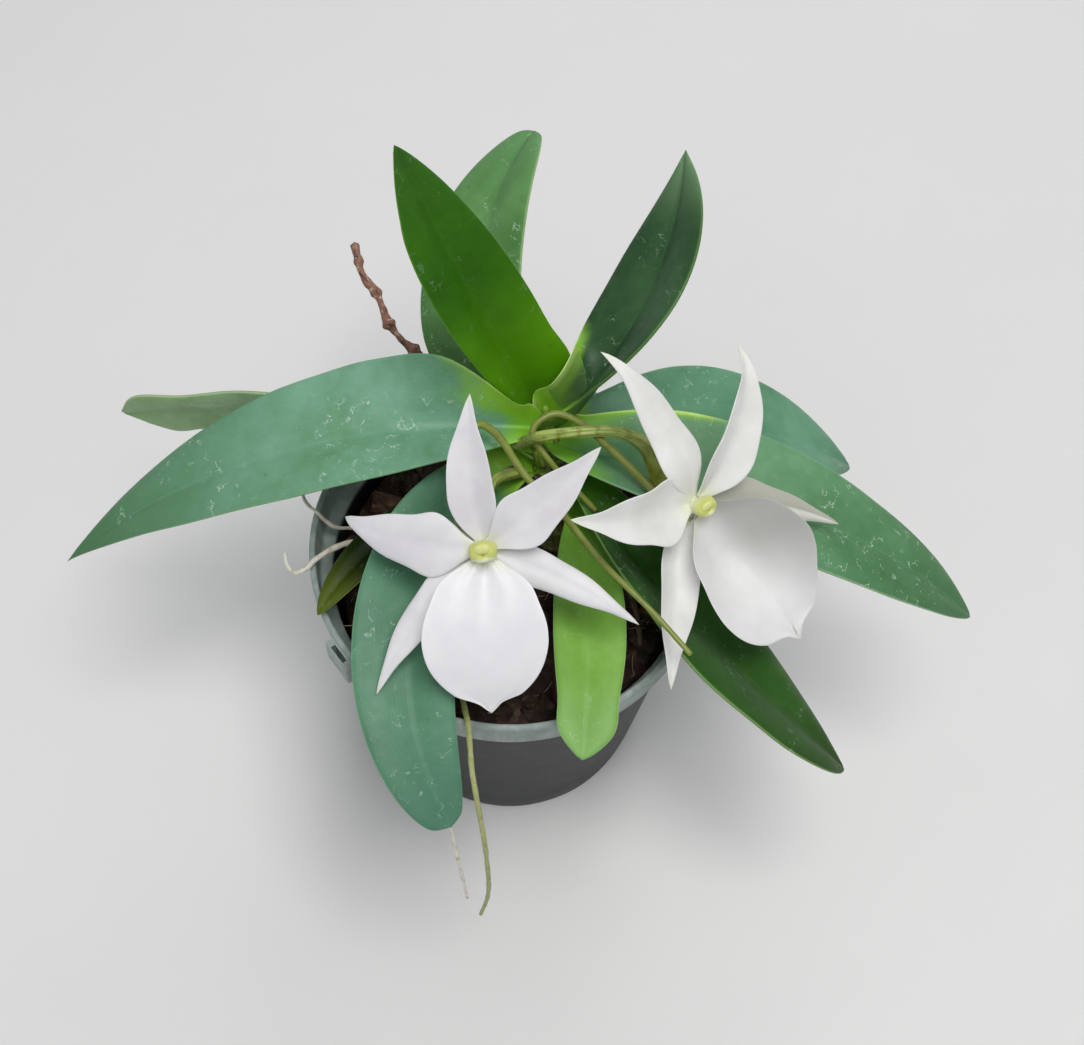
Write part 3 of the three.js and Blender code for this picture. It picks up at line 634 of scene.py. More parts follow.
# How each leaf differs. A half of a leaf is -1 for its right and 1 for its left; `band` is a lime band
# on one half, with where it starts across the leaf and ends along it; `raised` lifts one margin by some
# millimetres; `sink` is how much lower a leaf's base lies; `trim` narrows its first stations.
LEAF_LOOKS = {
    "leaf_left_large": dict(
        slot="leaf_blue_green", dark=(0.10, 0.26, 0.125), main=(0.17, 0.365, 0.235), light=(0.24, 0.47, 0.34),
        # Painted shade: the dark tip colour starts at a third of the length and takes over fully, for the
        # fall-off of light towards the tip.
        tip=(0.07, 0.19, 0.08), tip_share=1, tip_start=0.3, foot_end=0.13, foot_edge=0.02,
        rim=(0.2, 0.44, 0.2), margin=0.4, band=(-1, 0.2, 0.19), raised=(-1, 16), trim={"right": (0.62,)},
        cup=-2.6, broad=0.1, midrib=0.12, groove=0.08, crease=0.4, flecks=0.8, seed=1),
    "leaf_left_far": dict(
        slot="leaf_olive", dark=(0.12, 0.22, 0.08), main=(0.26, 0.43, 0.22), light=(0.34, 0.52, 0.29),
        tip=(0.2, 0.34, 0.13), rim=(0.42, 0.54, 0.3), blunt=1.3, flecks=0.3, seed=2),
    "leaf_top": dict(
        slot="leaf_fresh", dark=(0.02, 0.105, 0.0015), main=(0.032, 0.145, 0.002), light=(0.06, 0.2, 0.004),
        tip=(0.022, 0.085, 0.012), foot=(0.10, 0.31, 0.004), foot_end=0.55, rim=(0.16, 0.37, 0.03),
        margin=0.5, sink=8, trim={"left": (0.4, 0.45, 0.58, 0.68, 0.76, 0.84, 0.92), "right": (1.12, 1.08)},
        midrib=0.08, rough=0.36, shine=0.22, flecks=0.15, seed=3),
    "leaf_back": dict(
        slot="leaf_blue_green", dark=(0.05, 0.16, 0.03), main=(0.085, 0.225, 0.06), light=(0.14, 0.31, 0.11),
        tip=(0.14, 0.32, 0.13), rim=(0.3, 0.46, 0.2), flecks=0.6, seed=4),
    "leaf_back_right": dict(
        slot="leaf_dark", dark=(0.012, 0.048, 0.012), main=(0.022, 0.074, 0.023), light=(0.048, 0.13, 0.048),
        tip=(0.18, 0.33, 0.16), foot=(0.2, 0.45, 0.02), foot_end=0.16, rim=(0.2, 0.42, 0.06), margin=0.25,
        band=(1, 0.5, 0.33), raised=(1, 16), broad=0.4, midrib=0.35, flecks=0.35, seed=5),
    "leaf_right_rear": dict(
        slot="leaf_blue_green", dark=(0.08, 0.22, 0.12), main=(0.125, 0.31, 0.18), light=(0.18, 0.4, 0.25),
        tip=(0.08, 0.2, 0.12), foot_end=0.12, rim=(0.3, 0.48, 0.25), broad=0.3, flecks=0.4, seed=6),
    "leaf_right_large": dict(
        slot="leaf_dark", dark=(0.06, 0.185, 0.065), main=(0.12, 0.295, 0.137), light=(0.18, 0.385, 0.205),
        # Painted shade: the dark tip colour starts at two fifths of the length, for the fall-off of light
        # towards the tip.
        tip=(0.035, 0.12, 0.03), tip_start=0.4, foot=(0.16, 0.4, 0.03), foot_end=0.14,
        rim=(0.33, 0.52, 0.3), band=(1, 0.8, 0.3), cup=-1.6, broad=0.2, midrib=0.12, groove=0.1,
        flecks=0.7, seed=7),
    "leaf_right_low": dict(
        slot="leaf_dark", dark=(0.018, 0.07, 0.007), main=(0.03, 0.105, 0.013), light=(0.055, 0.16, 0.03),
        tip=(0.024, 0.05, 0.01), foot=(0.10, 0.3, 0.02), rim=(0.22, 0.34, 0.12), midrib=0.15, shine=0.2,
        flecks=0.45, seed=8),
    "leaf_front_small": dict(
        slot="leaf_pale", dark=(0.13, 0.32, 0.025), main=(0.19, 0.41, 0.055), light=(0.26, 0.5, 0.10),
        tip=(0.27, 0.5, 0.18), tip_share=0.5, foot=(0.15, 0.38, 0.01), foot_end=0.3, rim=(0.5, 0.68, 0.35),
        arch=0.5, blunt=0.5, midrib=0, groove=0.06, flecks=0.3, spots=0.6, seed=9),
    "leaf_front_hanging": dict(
        slot="leaf_blue_green", dark=(0.06, 0.18, 0.10), main=(0.09, 0.24, 0.14), light=(0.14, 0.31, 0.20),
        tip=(0.062, 0.17, 0.115), rim=(0.2, 0.42, 0.22), arch=0.7, midrib=0.05, flecks=0.4, seed=10),
    "leaf_left_small": dict(
        slot="leaf_olive", dark=(0.004, 0.012, 0.001), main=(0.007, 0.018, 0.001), light=(0.02, 0.045, 0.002),
        tip=(0.16, 0.22, 0.02), foot=(0.08, 0.16, 0.01), rim=(0.3, 0.36, 0.08), midrib=0.35, shine=0.15,
        flecks=0.1, seed=11),
}


def stem_axis():
    """Ring centres of the stem, from the mix up."""
    rings = read_rings("stem", np.array(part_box("stem")[0]))[1]
    centres = np.array([ring.mean(0) for ring in rings])
    return centres if centres[0][2] < centres[-1][2] else centres[::-1]


def leaf_width(broad, blunt):
    """Leaf bases are broader where they clasp the stem, and some tips are blunt."""
    def factor(along):
        base = broad * bell(along, 0.07, 0.09)
        return 1 + base + blunt * bell(along, 0.94, 0.08)
    return factor


def raised_margin(half, height):
    """Lifts one margin near the base, so that it stands in front of the next leaf."""
    def shape(rows, along, v, face, side):
        lift = height * bell(along, 0.16, 0.13) * np.clip(half * v, 0, 1) ** 1.2
        return rows + (lift * MM)[..., None] * OUTWARD
    return shape


def sunk_base(depth):
    """Sets a leaf's base lower and further back, behind the leaf that clasps it."""
    def shape(rows, along, v, face, side):
        drop = depth * bell(along, 0, 0.3) + 0 * v
        return rows - (drop * MM)[..., None] * OUTWARD
    return shape


def trimmed(stations, side, shares):
    """Narrows one half of a leaf over its first few stations."""
    rows = stations[side].copy()
    rows[:len(shares)] *= np.array(shares)[:, None]
    return {**stations, side: rows}


def build_leaves():
    axis = stem_axis()
    for node, own in LEAF_LOOKS.items():
        look = {**LEAF_LOOK, **own}
        look["widen"] = leaf_width(look["broad"], look["blunt"])
        if "raised" in look:
            look["shape"] = raised_margin(*look["raised"])
        if "sink" in look:
            look["shape"] = sunk_base(look["sink"])
        stations = blade_stations(node, axis[-1])
        for side, shares in look["trim"].items():
            stations = trimmed(stations, side, shares)
        start = stations["middle"][0]
        joint = axis[np.argmin(np.abs(axis[:, 2] - (start[2] - 2 * MM)))]
        heading = unit((start - joint) * [1, 1, 0])
        foot = joint - heading * 1.0 * MM - [0, 0, 2.5 * MM]
        leaf = blade(f"{node}_blade", with_foot(stations, foot, 0.75, 0.2), look, 100, 14)
        placed(leaf, leaf_material(f"{node}_skin", look), look["slot"], node)


# ---- flowers -------------------------------------------------------------------------------------

TEPALS = ("dorsal_sepal", "petal_left", "petal_right", "lateral_sepal_left", "lateral_sepal_right")

COLUMN_SIZES = {"left_flower": 1, "right_flower": 0.82}

# How each tepal differs, in millimetres and shares: its cup across, how much it swells (`belly`) and
# where along it (`at`), how far its foot sits back, how far its tip hooks along its face.
TEPAL_SHAPE = dict(at=0.22, back=0, hook=0, crease=0.5)
TEPAL_SHAPES = {
    "left_flower_dorsal_sepal": dict(cup=1.6, belly=0.14, at=0.26),
    "left_flower_petal_left": dict(cup=-1.8, belly=0.45, at=0.26, hook=-2.5),
    "left_flower_petal_right": dict(cup=1.8, belly=0.35, at=0.28),
    "left_flower_lateral_sepal_left": dict(cup=-1.2, belly=0.4),
    "left_flower_lateral_sepal_right": dict(cup=-1.6, belly=0.4, hook=3.0),
    "right_flower_dorsal_sepal": dict(cup=-2.0, belly=0.36, at=0.24, back=-2, hook=-3.0),
    "right_flower_petal_left": dict(cup=2.2, belly=0.6, at=0.22, back=1.5, hook=-2.0),
    "right_flower_petal_right": dict(cup=2.4, belly=0.25, at=0.26, hook=-3.0),
    "right_flower_lateral_sepal_left": dict(cup=2.8, belly=0.1, at=0.3, back=4, crease=0.9),
    "right_flower_lateral_sepal_right": dict(cup=-2.6, belly=0.6, at=0.3, crease=0.95),
}


def tepal_width(belly, at):
    """Narrow where it joins the flower, broad below its middle, drawn out to a slender tip."""
    def factor(along):
        tip = bell(along, 0.86, 0.16)
        neck = np.clip((0.16 - along) / 0.16, 0, 1)
        swell = belly * bell(along, at, 0.15)
        return (1 + swell) * (1 - 0.3 * tip) * (1 - 0.25 * neck)
    return factor


def hooked(hook, back, out):
    """Bends the last fifth of a tepal along its face, and holds its foot back behind the lip."""
    def shape(rows, along, v, face, side):
        bend = np.clip((along - 0.78) / 0.22, 0, 1) ** 2 * hook * MM + 0 * v
        behind = bell(along, 0.22, 0.2) * back * MM + 0 * v
        return rows + bend[..., None] * face - behind[..., None] * out
    return shape


def left_lip(rows, along, v, face, side):
    """Shield-shaped: a channel under the column, a gentle swell, and a small point at its end."""
    channel = bell(v, 0, 0.13) * bell(along, 0.1, 0.3)
    pleat = bell(np.abs(v), 0.38, 0.16) * bell(along, 0.15, 0.28)
    swell = np.sin(math.pi * along) * (1 - v**2)
    ripple = np.sin(9 * v + 4 * along) * np.clip(along - 0.5, 0, 1) * v**2
    height = -1.5 * channel + 1.0 * pleat + 1.6 * swell + 0.9 * ripple
    drift = 1.5 * np.clip((along - 0.5) / 0.5, 0, 1) ** 2 + 0 * v
    return rows + (height * MM)[..., None] * face + (drift * MM)[..., None] * side


def right_lip(rows, along, v, face, side):
    """Spoon-shaped: deep behind the column, its upper right wall standing up, its end folded."""
    wall = np.clip(v, 0, 1) ** 1.5 * bell(along, 0.35, 0.3)
    hollow = (1 - v**2) * bell(along, 0.36, 0.26)
    crease = bell(v, 0.1, 0.1) * np.clip((along - 0.7) / 0.3, 0, 1)
    ripple = np.sin(8 * v + 1) * np.clip(along - 0.55, 0, 1) * v**2
    height = 8.5 * wall - 7 * hollow - 2.4 * crease + 1.6 * ripple
    inward = 5.2 * np.clip(v, 0, 1) * bell(along, 0.6, 0.25)
    return rows + (height * MM)[..., None] * face - (inward * MM)[..., None] * side


def lip_width(along):
    """Wraps round the column at its foot and ends in a small drawn-out point."""
    point = np.clip((along - 0.84) / 0.1, 0, 1)
    return (1 + 0.32 * bell(along, 0.12, 0.12)) * (1 - 0.42 * point**2 * (3 - 2 * point))


def build_flower(flower, materials):
    """Five tepals and a lip round the column, and the stalk and spur behind them."""
    middle = node_centre(f"{flower}_column")
    for number, part in enumerate(TEPALS):
        build_tepal(flower, f"{flower}_{part}", middle, number + len(flower), materials)
    shape = left_lip if flower == "left_flower" else right_lip
    look = {"thickness": 0.9, "crease": 0.1, "groove": 0.0, "keel": 0.2, "wave": 0.5, "wave_size": 16,
            "seed": len(flower), "shape": shape, "widen": lip_width}
    node = f"{flower}_lip"
    lip = blade(f"{node}_blade", petal_stations(node, middle, 0.8), look, 100, 20)
    placed(lip, materials["lip"], "flower", node)
    build_column(flower, middle, materials)
    build_stalk(flower, middle, materials)


def petal_stations(node, middle, share):
    """A petal's stations, run on to just under the column."""
    stations = blade_stations(node, middle)
    return with_foot(stations, middle + 0.45 * (stations["middle"][0] - middle), share, 0)


def build_tepal(flower, node, middle, seed, materials):
    """A sepal or a petal. One is folded, so that it shows its outside, which its material paints darker
    greenish grey on one half: partly the outer face's own tint, partly painted shade.
    """
    own = {**TEPAL_SHAPE, **TEPAL_SHAPES[node]}
    look = {"thickness": 0.9, "groove": 0.08, "keel": 0.35, "wave": 0.4, "wave_size": 14, "arch": 0.3,
            "seed": seed, "cup": own["cup"], "crease": own["crease"],
            "widen": tepal_width(own["belly"], own["at"]),
            "shape": hooked(own["hook"], own["back"], flower_axes(flower)[2])}
    piece = blade(f"{node}_blade", petal_stations(node, middle, 0.9), look, 80, 9)
    folded = node == "right_flower_lateral_sepal_right"
    placed(piece, materials["sepal_outside_and_shade" if folded else "petal"], "flower", node)


def flower_axes(flower):
    """Right, up and out of a flower, from its column, anther cap and upper sepal."""
    middle = node_centre(f"{flower}_column")
    out = unit(node_centre(f"{flower}_anther_cap") - middle)
    up = node_centre(f"{flower}_dorsal_sepal") - middle
    up = unit(up - out * np.dot(up, out))
    return np.cross(up, out), up, out


def lump(name, centre, axes, radii, relief):
    """A rounded body in a flower's own axes; relief moves its skin, given unit directions a, b, c."""
    polar = np.linspace(0.04, math.pi - 0.04, 30)[:, None]
    angle = np.linspace(0, 2 * math.pi, 40, endpoint=False)[None, :]
    a = np.sin(polar) * np.cos(angle)
    b = np.sin(polar) * np.sin(angle)
    c = -np.cos(polar) + 0 * angle
    size = (1 + relief(a, b, c)) * MM
    rows = centre + sum((size * d * r)[..., None] * axis for d, r, axis in zip((a, b, c), radii, axes))
    return skin(name, rows, rows[0].mean(0), rows[-1].mean(0), {"along": (c + 1) / 2, "across": b})


def column_relief(a, b, c):
    """Flat front with a hollow for the stigma, a ledge below it and a wing on each side."""
    front = np.clip(c, 0, 1)
    flat = -0.22 * front**3
    hollow = -0.34 * bell(a, 0, 0.3) * bell(b, -0.12, 0.24) * (c > 0)
    ledge = 0.24 * bell(b, -0.62, 0.2) * bell(a, 0, 0.55) * front
    wings = 0.14 * bell(np.abs(a), 0.85, 0.25)
    return flat + hollow + ledge + wings


def cap_relief(a, b, c):
    """A shallow groove down the front of the anther cap."""
    return -0.12 * bell(a, 0, 0.22) * (c > 0) + 0.05 * b


def build_column(flower, middle, materials):
    """A stout hooded column, and the anther cap that sits in its upper front."""
    axes = flower_axes(flower)
    cap = node_centre(f"{flower}_anther_cap")
    heart = middle + 0.2 * (cap - middle)
    size = COLUMN_SIZES[flower]
    radii = size * np.array([3.5, 3.0, 4.2])
    body = lump(f"{flower}_column_body", heart, axes, radii, column_relief)
    placed(body, materials["column"], "column", f"{flower}_column")
    seat = heart + (1.1 * axes[1] + 2.75 * axes[2]) * size * MM
    top = lump(f"{flower}_anther_cap_shell", seat, axes, size * np.array([2.3, 1.5, 0.9]), cap_relief)
    placed(top, materials["cap"], "flower", f"{flower}_anther_cap")


def over_spur(s):
    """Arches the right flower's stalk up over its own spur, by 11 mm where they cross."""
    height = eased(s, 0.05, 0.55) * eased(1 - s, 0, 0.12)
    return 11 * MM * height[:, None] * OUTWARD


def spur_radius(s, radius):
    """A pale funnel where the spur leaves the lip, soon thin and even."""
    return radius * (0.9 + 1.5 * bell(s, 0, 0.08)) * (1 - 0.6 * bell(s, 0, 0.02))


def stalk_radius(s, radius):
    """The stalk thickens into the ovary behind its flower."""
    return radius * (1 + 0.6 * bell(s, 0.2, 0.2))


def build_stalk(flower, middle, materials):
    look = {"ribs": 0.08, "twist": 160, "lumps": 0.12, "lump_size": 6}
    if flower == "right_flower":
        look["lift"] = over_spur
    stalk = tube(f"{flower}_stalk_tube", f"{flower}_stalk", middle, stalk_radius, look, 36, 140)
    placed(stalk, materials["stalk"], "flower_stalk", f"{flower}_stalk")
    spur = tube(f"{flower}_spur_tube", f"{flower}_spur", middle, spur_radius, {"lumps": 0.05}, 20, 200)
    placed(spur, materials["spur"], "spur", f"{flower}_spur")


def build_flowers():
    stalk = tube_material("stalk_tissue", (0.24, 0.26, 0.015), (0.36, 0.46, 0.12), (0.17, 0.19, 0.012),
                          0.34, 0.03, stripes=6, glow=0.1, reach=0.7)
    spur = tube_material("spur_tissue", (0.72, 0.72, 0.58), (0.22, 0.26, 0.05), (0.17, 0.20, 0.035),
                         0.32, 0.02, glow=0.1, reach=0.2)
    tip, throat = (0.70, 0.74, 0.58), (0.74, 0.78, 0.5)
    shared = {
        "column": column_material("column_wax", (0.74, 0.76, 0.52), (0.58, 0.62, 0.17), (0.80, 0.80, 0.62)),
        "cap": column_material("anther_wax", (0.64, 0.67, 0.24), (0.66, 0.69, 0.26), (0.62, 0.64, 0.2)),
        "stalk": stalk, "spur": spur,
        # The folded sepal's darker half is partly its own tint and partly painted shade.
        "sepal_outside_and_shade": petal_material("petal_back_and_painted_shade", (0.74, 0.735, 0.68), tip, throat, (0.66, 0.655, 0.6),
                                     outside=(0.40, 0.40, 0.33)),
    }
    cool = petal_material("petal_cool", (0.79, 0.775, 0.79), tip, throat, (0.69, 0.67, 0.70))
    warm = petal_material("petal_warm", (0.83, 0.825, 0.80), tip, throat, (0.72, 0.715, 0.68))
    cool_lip = petal_material("lip_cool", (0.87, 0.86, 0.885), (0.86, 0.86, 0.84), throat, (0.81, 0.80, 0.83))
    # The warm lip's grey hollow colour is painted shade.
    warm_lip = petal_material("lip_warm_painted_shade", (0.85, 0.85, 0.84), (0.80, 0.80, 0.76), throat, (0.79, 0.79, 0.78),
                              hollow=(0.46, 0.46, 0.435))
    build_flower("left_flower", {**shared, "petal": cool, "lip": cool_lip})
    build_flower("right_flower", {**shared, "petal": warm, "lip": warm_lip})


# ---- pot, mix and bark ---------------------------------------------------------------------------

WALL = 1.2 * MM
COLLAR = 14 * MM


def lathe(name, profile, sides, wobble=None):
    """A closed turned shape from a profile of (radius, height) that closes on itself."""
    count = len(profile)
    points, faces = [], []
    for j in range(sides):
        angle = 2 * math.pi * j / sides
        for i, (radius, height) in enumerate(profile):
            r = radius + (wobble(angle, height) if wobble else 0)
            points.append((r * math.cos(angle), r * math.sin(angle), height))
    for j in range(sides):
        k = (j + 1) % sides
        for i in range(count):
            m = (i + 1) % count
            faces.append((j * count + i, k * count + i, k * count + m, j * count + m))
    return new_object(name, points, faces)


def pot_sizes():
    """Rim radius, height and base radius, read from the frame pot's own corners."""
    points, _ = corners("pot")
    radius = np.hypot(points[:, 0], points[:, 1])
    height = points[:, 2].max()
    rim = radius[points[:, 2] > height - 0.1 * MM].max()
    base = radius[points[:, 2] < 0.1 * MM].max()
    return rim, height, base


def rounded(profile, size, steps=4):
    """The same closed profile with each corner cut by a small curve."""
    result = []
    count = len(profile)
    for i, corner in enumerate(profile):
        corner = np.array(corner)
        before, after = np.array(profile[i - 1]), np.array(profile[(i + 1) % count])
        back, ahead = before - corner, after - corner
        a = corner + back * min(0.45, size / max(np.linalg.norm(back), 1e-9))
        b = corner + ahead * min(0.45, size / max(np.linalg.norm(ahead), 1e-9))
        for t in np.linspace(0, 1, steps):
            result.append(tuple((1 - t) ** 2 * a + 2 * t * (1 - t) * corner + t * t * b))
    return result


def pot_outside(rim, height, base):
    """Radius and height of each corner of the outside, from the middle of the foot up to the rim."""
    body, shoulder = rim - 4.3 * MM, height - COLLAR
    foot = [(2, 0.1), (11, 0.1), (13, 3), (base / MM - 6.5, 3), (base / MM - 4.5, 0), (base / MM, 0),
            (base / MM + 1.4, 1.2)]
    profile = [(radius * MM, level * MM) for radius, level in foot]
    low = base + 1.5 * MM
    profile += [(low + (body - low) * s, shoulder * s) for s in np.linspace(0.1, 0.98, 14)]
    collar = [(-1.3, 0.4 * MM), (-0.7, 1.6 * MM), (-0.2, COLLAR - 3.0 * MM), (0.35, COLLAR - 2.2 * MM),
              (0.35, COLLAR - 0.7 * MM), (-0.3, COLLAR)]
    return profile + [(body, shoulder)] + [(rim + out * MM, shoulder + up) for out, up in collar]


def pot_inside(rim, height, base):
    """The same for the inside, from the rim down to the floor."""
    body, shoulder = rim - 4.3 * MM, height - COLLAR
    inner = rim - WALL
    profile = [(rim - 1.5 * MM, height - 0.1 * MM), (inner - 0.7 * MM, shoulder + 2.9 * MM),
               (inner - 1.5 * MM, shoulder + 1.9 * MM), (body - WALL, shoulder + 1.1 * MM)]
    low = base + 1.5 * MM
    profile += [(low + (body - low) * s - WALL, shoulder * s) for s in np.linspace(0.96, 0.08, 12)]
    return profile + [(base - 2 * MM, 4.6 * MM), (2 * MM, 4.6 * MM)]


def moulded(angle, z):
    """The pot isn't quite round: how far its wall stands out."""
    return 0.12 * MM * math.sin(3 * angle + 40 * z) + 0.05 * MM * math.sin(11 * angle)


def build_pot(material):
    rim, height, base = pot_sizes()
    profile = rounded(pot_outside(rim, height, base) + pot_inside(rim, height, base), 0.6 * MM)
    shell = lathe("pot_shell", profile, 180, moulded)
    outward(shell)
    lugs = [lug(math.radians(angle), rim, height) for angle in lug_angles(rim)]
    placed(join_objects([shell, *lugs]), material, "pot", "pot")


def lug_angles(rim):
    """Where the frame's pot has corners outside its rim: the middle of each lug, in degrees."""
    points, _ = corners("pot")
    out = points[np.hypot(points[:, 0], points[:, 1]) > rim + 3 * MM]
    angles = sorted(math.degrees(math.atan2(y, x)) % 360 for x, y, _ in out)
    groups = [[angles[0]]]
    for angle in angles[1:]:
        if angle - groups[-1][-1] > 20:
            groups.append([])
        groups[-1].append(angle)
    return [(group[0] + group[-1]) / 2 for group in groups]


def lug(angle, rim, height):
    """A moulded hanger lug: a rounded block with a slot down through it."""
    outer = box_mesh((3.3 * MM, 11 * MM, 10 * MM), 0.5 * MM)
    slot = box_mesh((1.5 * MM, 6.2 * MM, 16 * MM), 0.2 * MM)
    slot.location = (0.4 * MM, 0, 0)
    bpy.context.view_layer.update()
    carve(outer, slot)
    distance = rim + 1.2 * MM
    outer.location = (distance * math.cos(angle), distance * math.sin(angle), height - 6.2 * MM)
    outer.rotation_euler = (0, 0, angle)
    return outer


def box_mesh(size, bevel):
    """A block with rounded edges, round the origin."""
    shape = bmesh.new()
    bmesh.ops.create_cube(shape, size=1)
    bmesh.ops.scale(shape, vec=size, verts=shape.verts)
    bmesh.ops.bevel(shape, geom=shape.edges[:], offset=bevel, segments=3, affect="EDGES", profile=0.5)
    mesh = bpy.data.meshes.new("block")
    shape.to_mesh(mesh)
    shape.free()
    thing = bpy.data.objects.new("block", mesh)
    bpy.context.scene.collection.objects.link(thing)
    return thing


def carve(target, tool):
    """Cuts one object out of another and removes it."""
    cut = target.modifiers.new("cut", "BOOLEAN")
    cut.operation = "DIFFERENCE"
    cut.object = tool
    cut.solver = "EXACT"
    graph = bpy.context.evaluated_depsgraph_get()
    mesh = bpy.data.meshes.new_from_object(target.evaluated_get(graph))
    target.modifiers.clear()
    target.data = mesh
    bpy.data.objects.remove(tool)


def join_objects(things):
    """Puts all the objects' meshes, where they stand, into the first one."""
    bpy.context.view_layer.update()
    first = things[0]
    shape = bmesh.new()
    for thing in things:
        mesh = thing.data.copy()
        mesh.transform(thing.matrix_world)
        shape.from_mesh(mesh)
    for thing in things[1:]:
        bpy.data.objects.remove(thing)
    shape.to_mesh(first.data)
    shape.free()
    return first


def chunk(rng, size):
    """An angular piece of broken bark, as points and faces round the origin."""
    shape = bmesh.new()
    for _ in range(15):
        spot = Vector((rng.uniform(-1, 1), rng.uniform(-1, 1), rng.uniform(-1, 1)))
        spot = spot / max(abs(spot.x), abs(spot.y), abs(spot.z)) * rng.uniform(0.75, 1)
        shape.verts.new((spot.x * size[0] / 2, spot.y * size[1] / 2, spot.z * size[2] / 2))
    bmesh.ops.convex_hull(shape, input=shape.verts)
    bmesh.ops.delete(shape, geom=[v for v in shape.verts if not v.link_faces], context="VERTS")
    bmesh.ops.subdivide_edges(shape, edges=shape.edges[:], cuts=2, use_grid_fill=True)
    offset = Vector((rng.uniform(0, 90), rng.uniform(0, 90), rng.uniform(0, 90)))
    for vertex in shape.verts:
        grain = noise.noise(vertex.co / (2.2 * MM) + offset)
        vertex.co += vertex.co.normalized() * grain * 0.09 * min(size)
    bmesh.ops.triangulate(shape, faces=shape.faces[:])
    shape.verts.index_update()
    points = [v.co.copy() for v in shape.verts]
    faces = [tuple(v.index for v in f.verts) for f in shape.faces]
    shape.free()
    return points, faces


def turned(points, rng):
    """The same points, turned to lie any way round and tilted a little."""
    up = Vector((rng.uniform(-0.5, 0.5), rng.uniform(-0.5, 0.5), 1))
    spin = Vector((0, 0, 1)).rotation_difference(up).to_matrix()
    angle = rng.uniform(0, 2 * math.pi)
    cos, sin = math.cos(angle), math.sin(angle)
    return [spin @ Vector((p.x * cos - p.y * sin, p.x * sin + p.y * cos, p.z)) for p in points]


def build_mix(material):
    """Fine bark to the pot's wall, and loose pieces all over the top."""
    low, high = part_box("potting_mix")
    radius = (high.x - low.x) / 2
    top = high.z - 2.5 * MM
    foot = pot_sizes()[2] - 1 * MM
    profile = []
    for share in np.linspace(0, 1, 40):
        profile.append((foot + (radius - foot) * share, low.z + (top - 4 * MM - low.z) * share))
    profile += [(radius * share, top) for share in np.linspace(0.96, 0.02, 22)]
    profile += [(0.5 * MM, low.z)]
    fill = lathe("mix_fill", profile, 140)
    for vertex in fill.data.vertices:
        crumble(vertex.co, top)
    placed(fill, material, "potting_mix", "potting_mix")
    placed(loose_bark(radius, top), material, "potting_mix")


def crumble(spot, top):
    """Presses a point of the mix in, so that its skin shows packed grains."""
    cell = noise.voronoi(spot / (5.5 * MM))[0]
    ridge = min(1.0, 1.8 * (cell[1] - cell[0]))
    reach = math.hypot(spot.x, spot.y)
    if spot.z > top - 1 * MM:
        spot.z += (ridge - 0.6) * 2.2 * MM
    elif reach > 5 * MM:
        shrink = 1 - (1 - ridge) * 1.6 * MM / reach
        spot.x *= shrink
        spot.y *= shrink


def loose_bark(radius, top):
    """Some 400 small pieces that lie all over the top, clear of the stem."""
    rng = random.Random(21)
    points, faces = [], []
    stem = Vector((*stem_axis()[3][:2], 0))
    for _ in range(430):
        angle = rng.uniform(0, 2 * math.pi)
        reach = (radius - 3.5 * MM) * math.sqrt(rng.random())
        spot = Vector((reach * math.cos(angle), reach * math.sin(angle), 0))
        if (spot - stem).length < 7 * MM:
            continue
        big = rng.random() ** 2
        size = [(4 + 6 * big) * MM, (3 + 4 * big) * MM, (2.2 + 2.4 * big) * MM]
        spot.z = top + rng.uniform(-0.5, 1.8) * MM - 2 * MM * (reach / radius) ** 2
        piece, sides = chunk(rng, size)
        start = len(points)
        points += [tuple(p + spot) for p in turned(piece, rng)]
        faces += [tuple(start + i for i in face) for face in sides]
    return new_object("loose_bark", points, faces, shade_smooth=False)


def on_top(rng, reach, height):
    """A random place on top of the mix."""
    angle, distance = rng.uniform(0, 2 * math.pi), reach * math.sqrt(rng.random())
    return Vector((distance * math.cos(angle), distance * math.sin(angle), height))


def build_litter():
    """What lies loose on the bark: moss tufts and thin dry root fibres."""
    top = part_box("potting_mix")[1].z - 1.5 * MM
    rng = random.Random(5)
    moss, dry = [], []
    for _ in range(26):
        centre = on_top(rng, 48 * MM, top)
        for _ in range(rng.randint(8, 22)):
            foot = centre + Vector((rng.gauss(0, 2), rng.gauss(0, 2), 0)) * MM
            lean = Vector((rng.gauss(0, 0.5), rng.gauss(0, 0.5), 1)).normalized()
            moss.append((foot, lean, rng.uniform(1.5, 3.6) * MM, 0.16 * MM, 0.6))
    for _ in range(60):
        foot = on_top(rng, 50 * MM, top)
        foot.z += rng.uniform(0, 1) * MM
        turn = rng.uniform(0, 2 * math.pi)
        lean = Vector((math.cos(turn), math.sin(turn), rng.uniform(0.02, 0.3))).normalized()
        dry.append((foot, lean, rng.uniform(5, 15) * MM, rng.uniform(0.12, 0.28) * MM, 1.0))
    green = tube_material("moss", (0.03, 0.05, 0.006), (0.09, 0.16, 0.02), (0.02, 0.03, 0.004), 0.8, 0.1)
    straw = tube_material("root_fibre", (0.30, 0.22, 0.14), (0.5, 0.42, 0.30), (0.14, 0.09, 0.05), 0.85, 0.1)
    placed(strands("moss_tufts", moss, rng), green, "potting_mix")
    placed(strands("dry_fibres", dry, rng), straw, "dead_tissue")


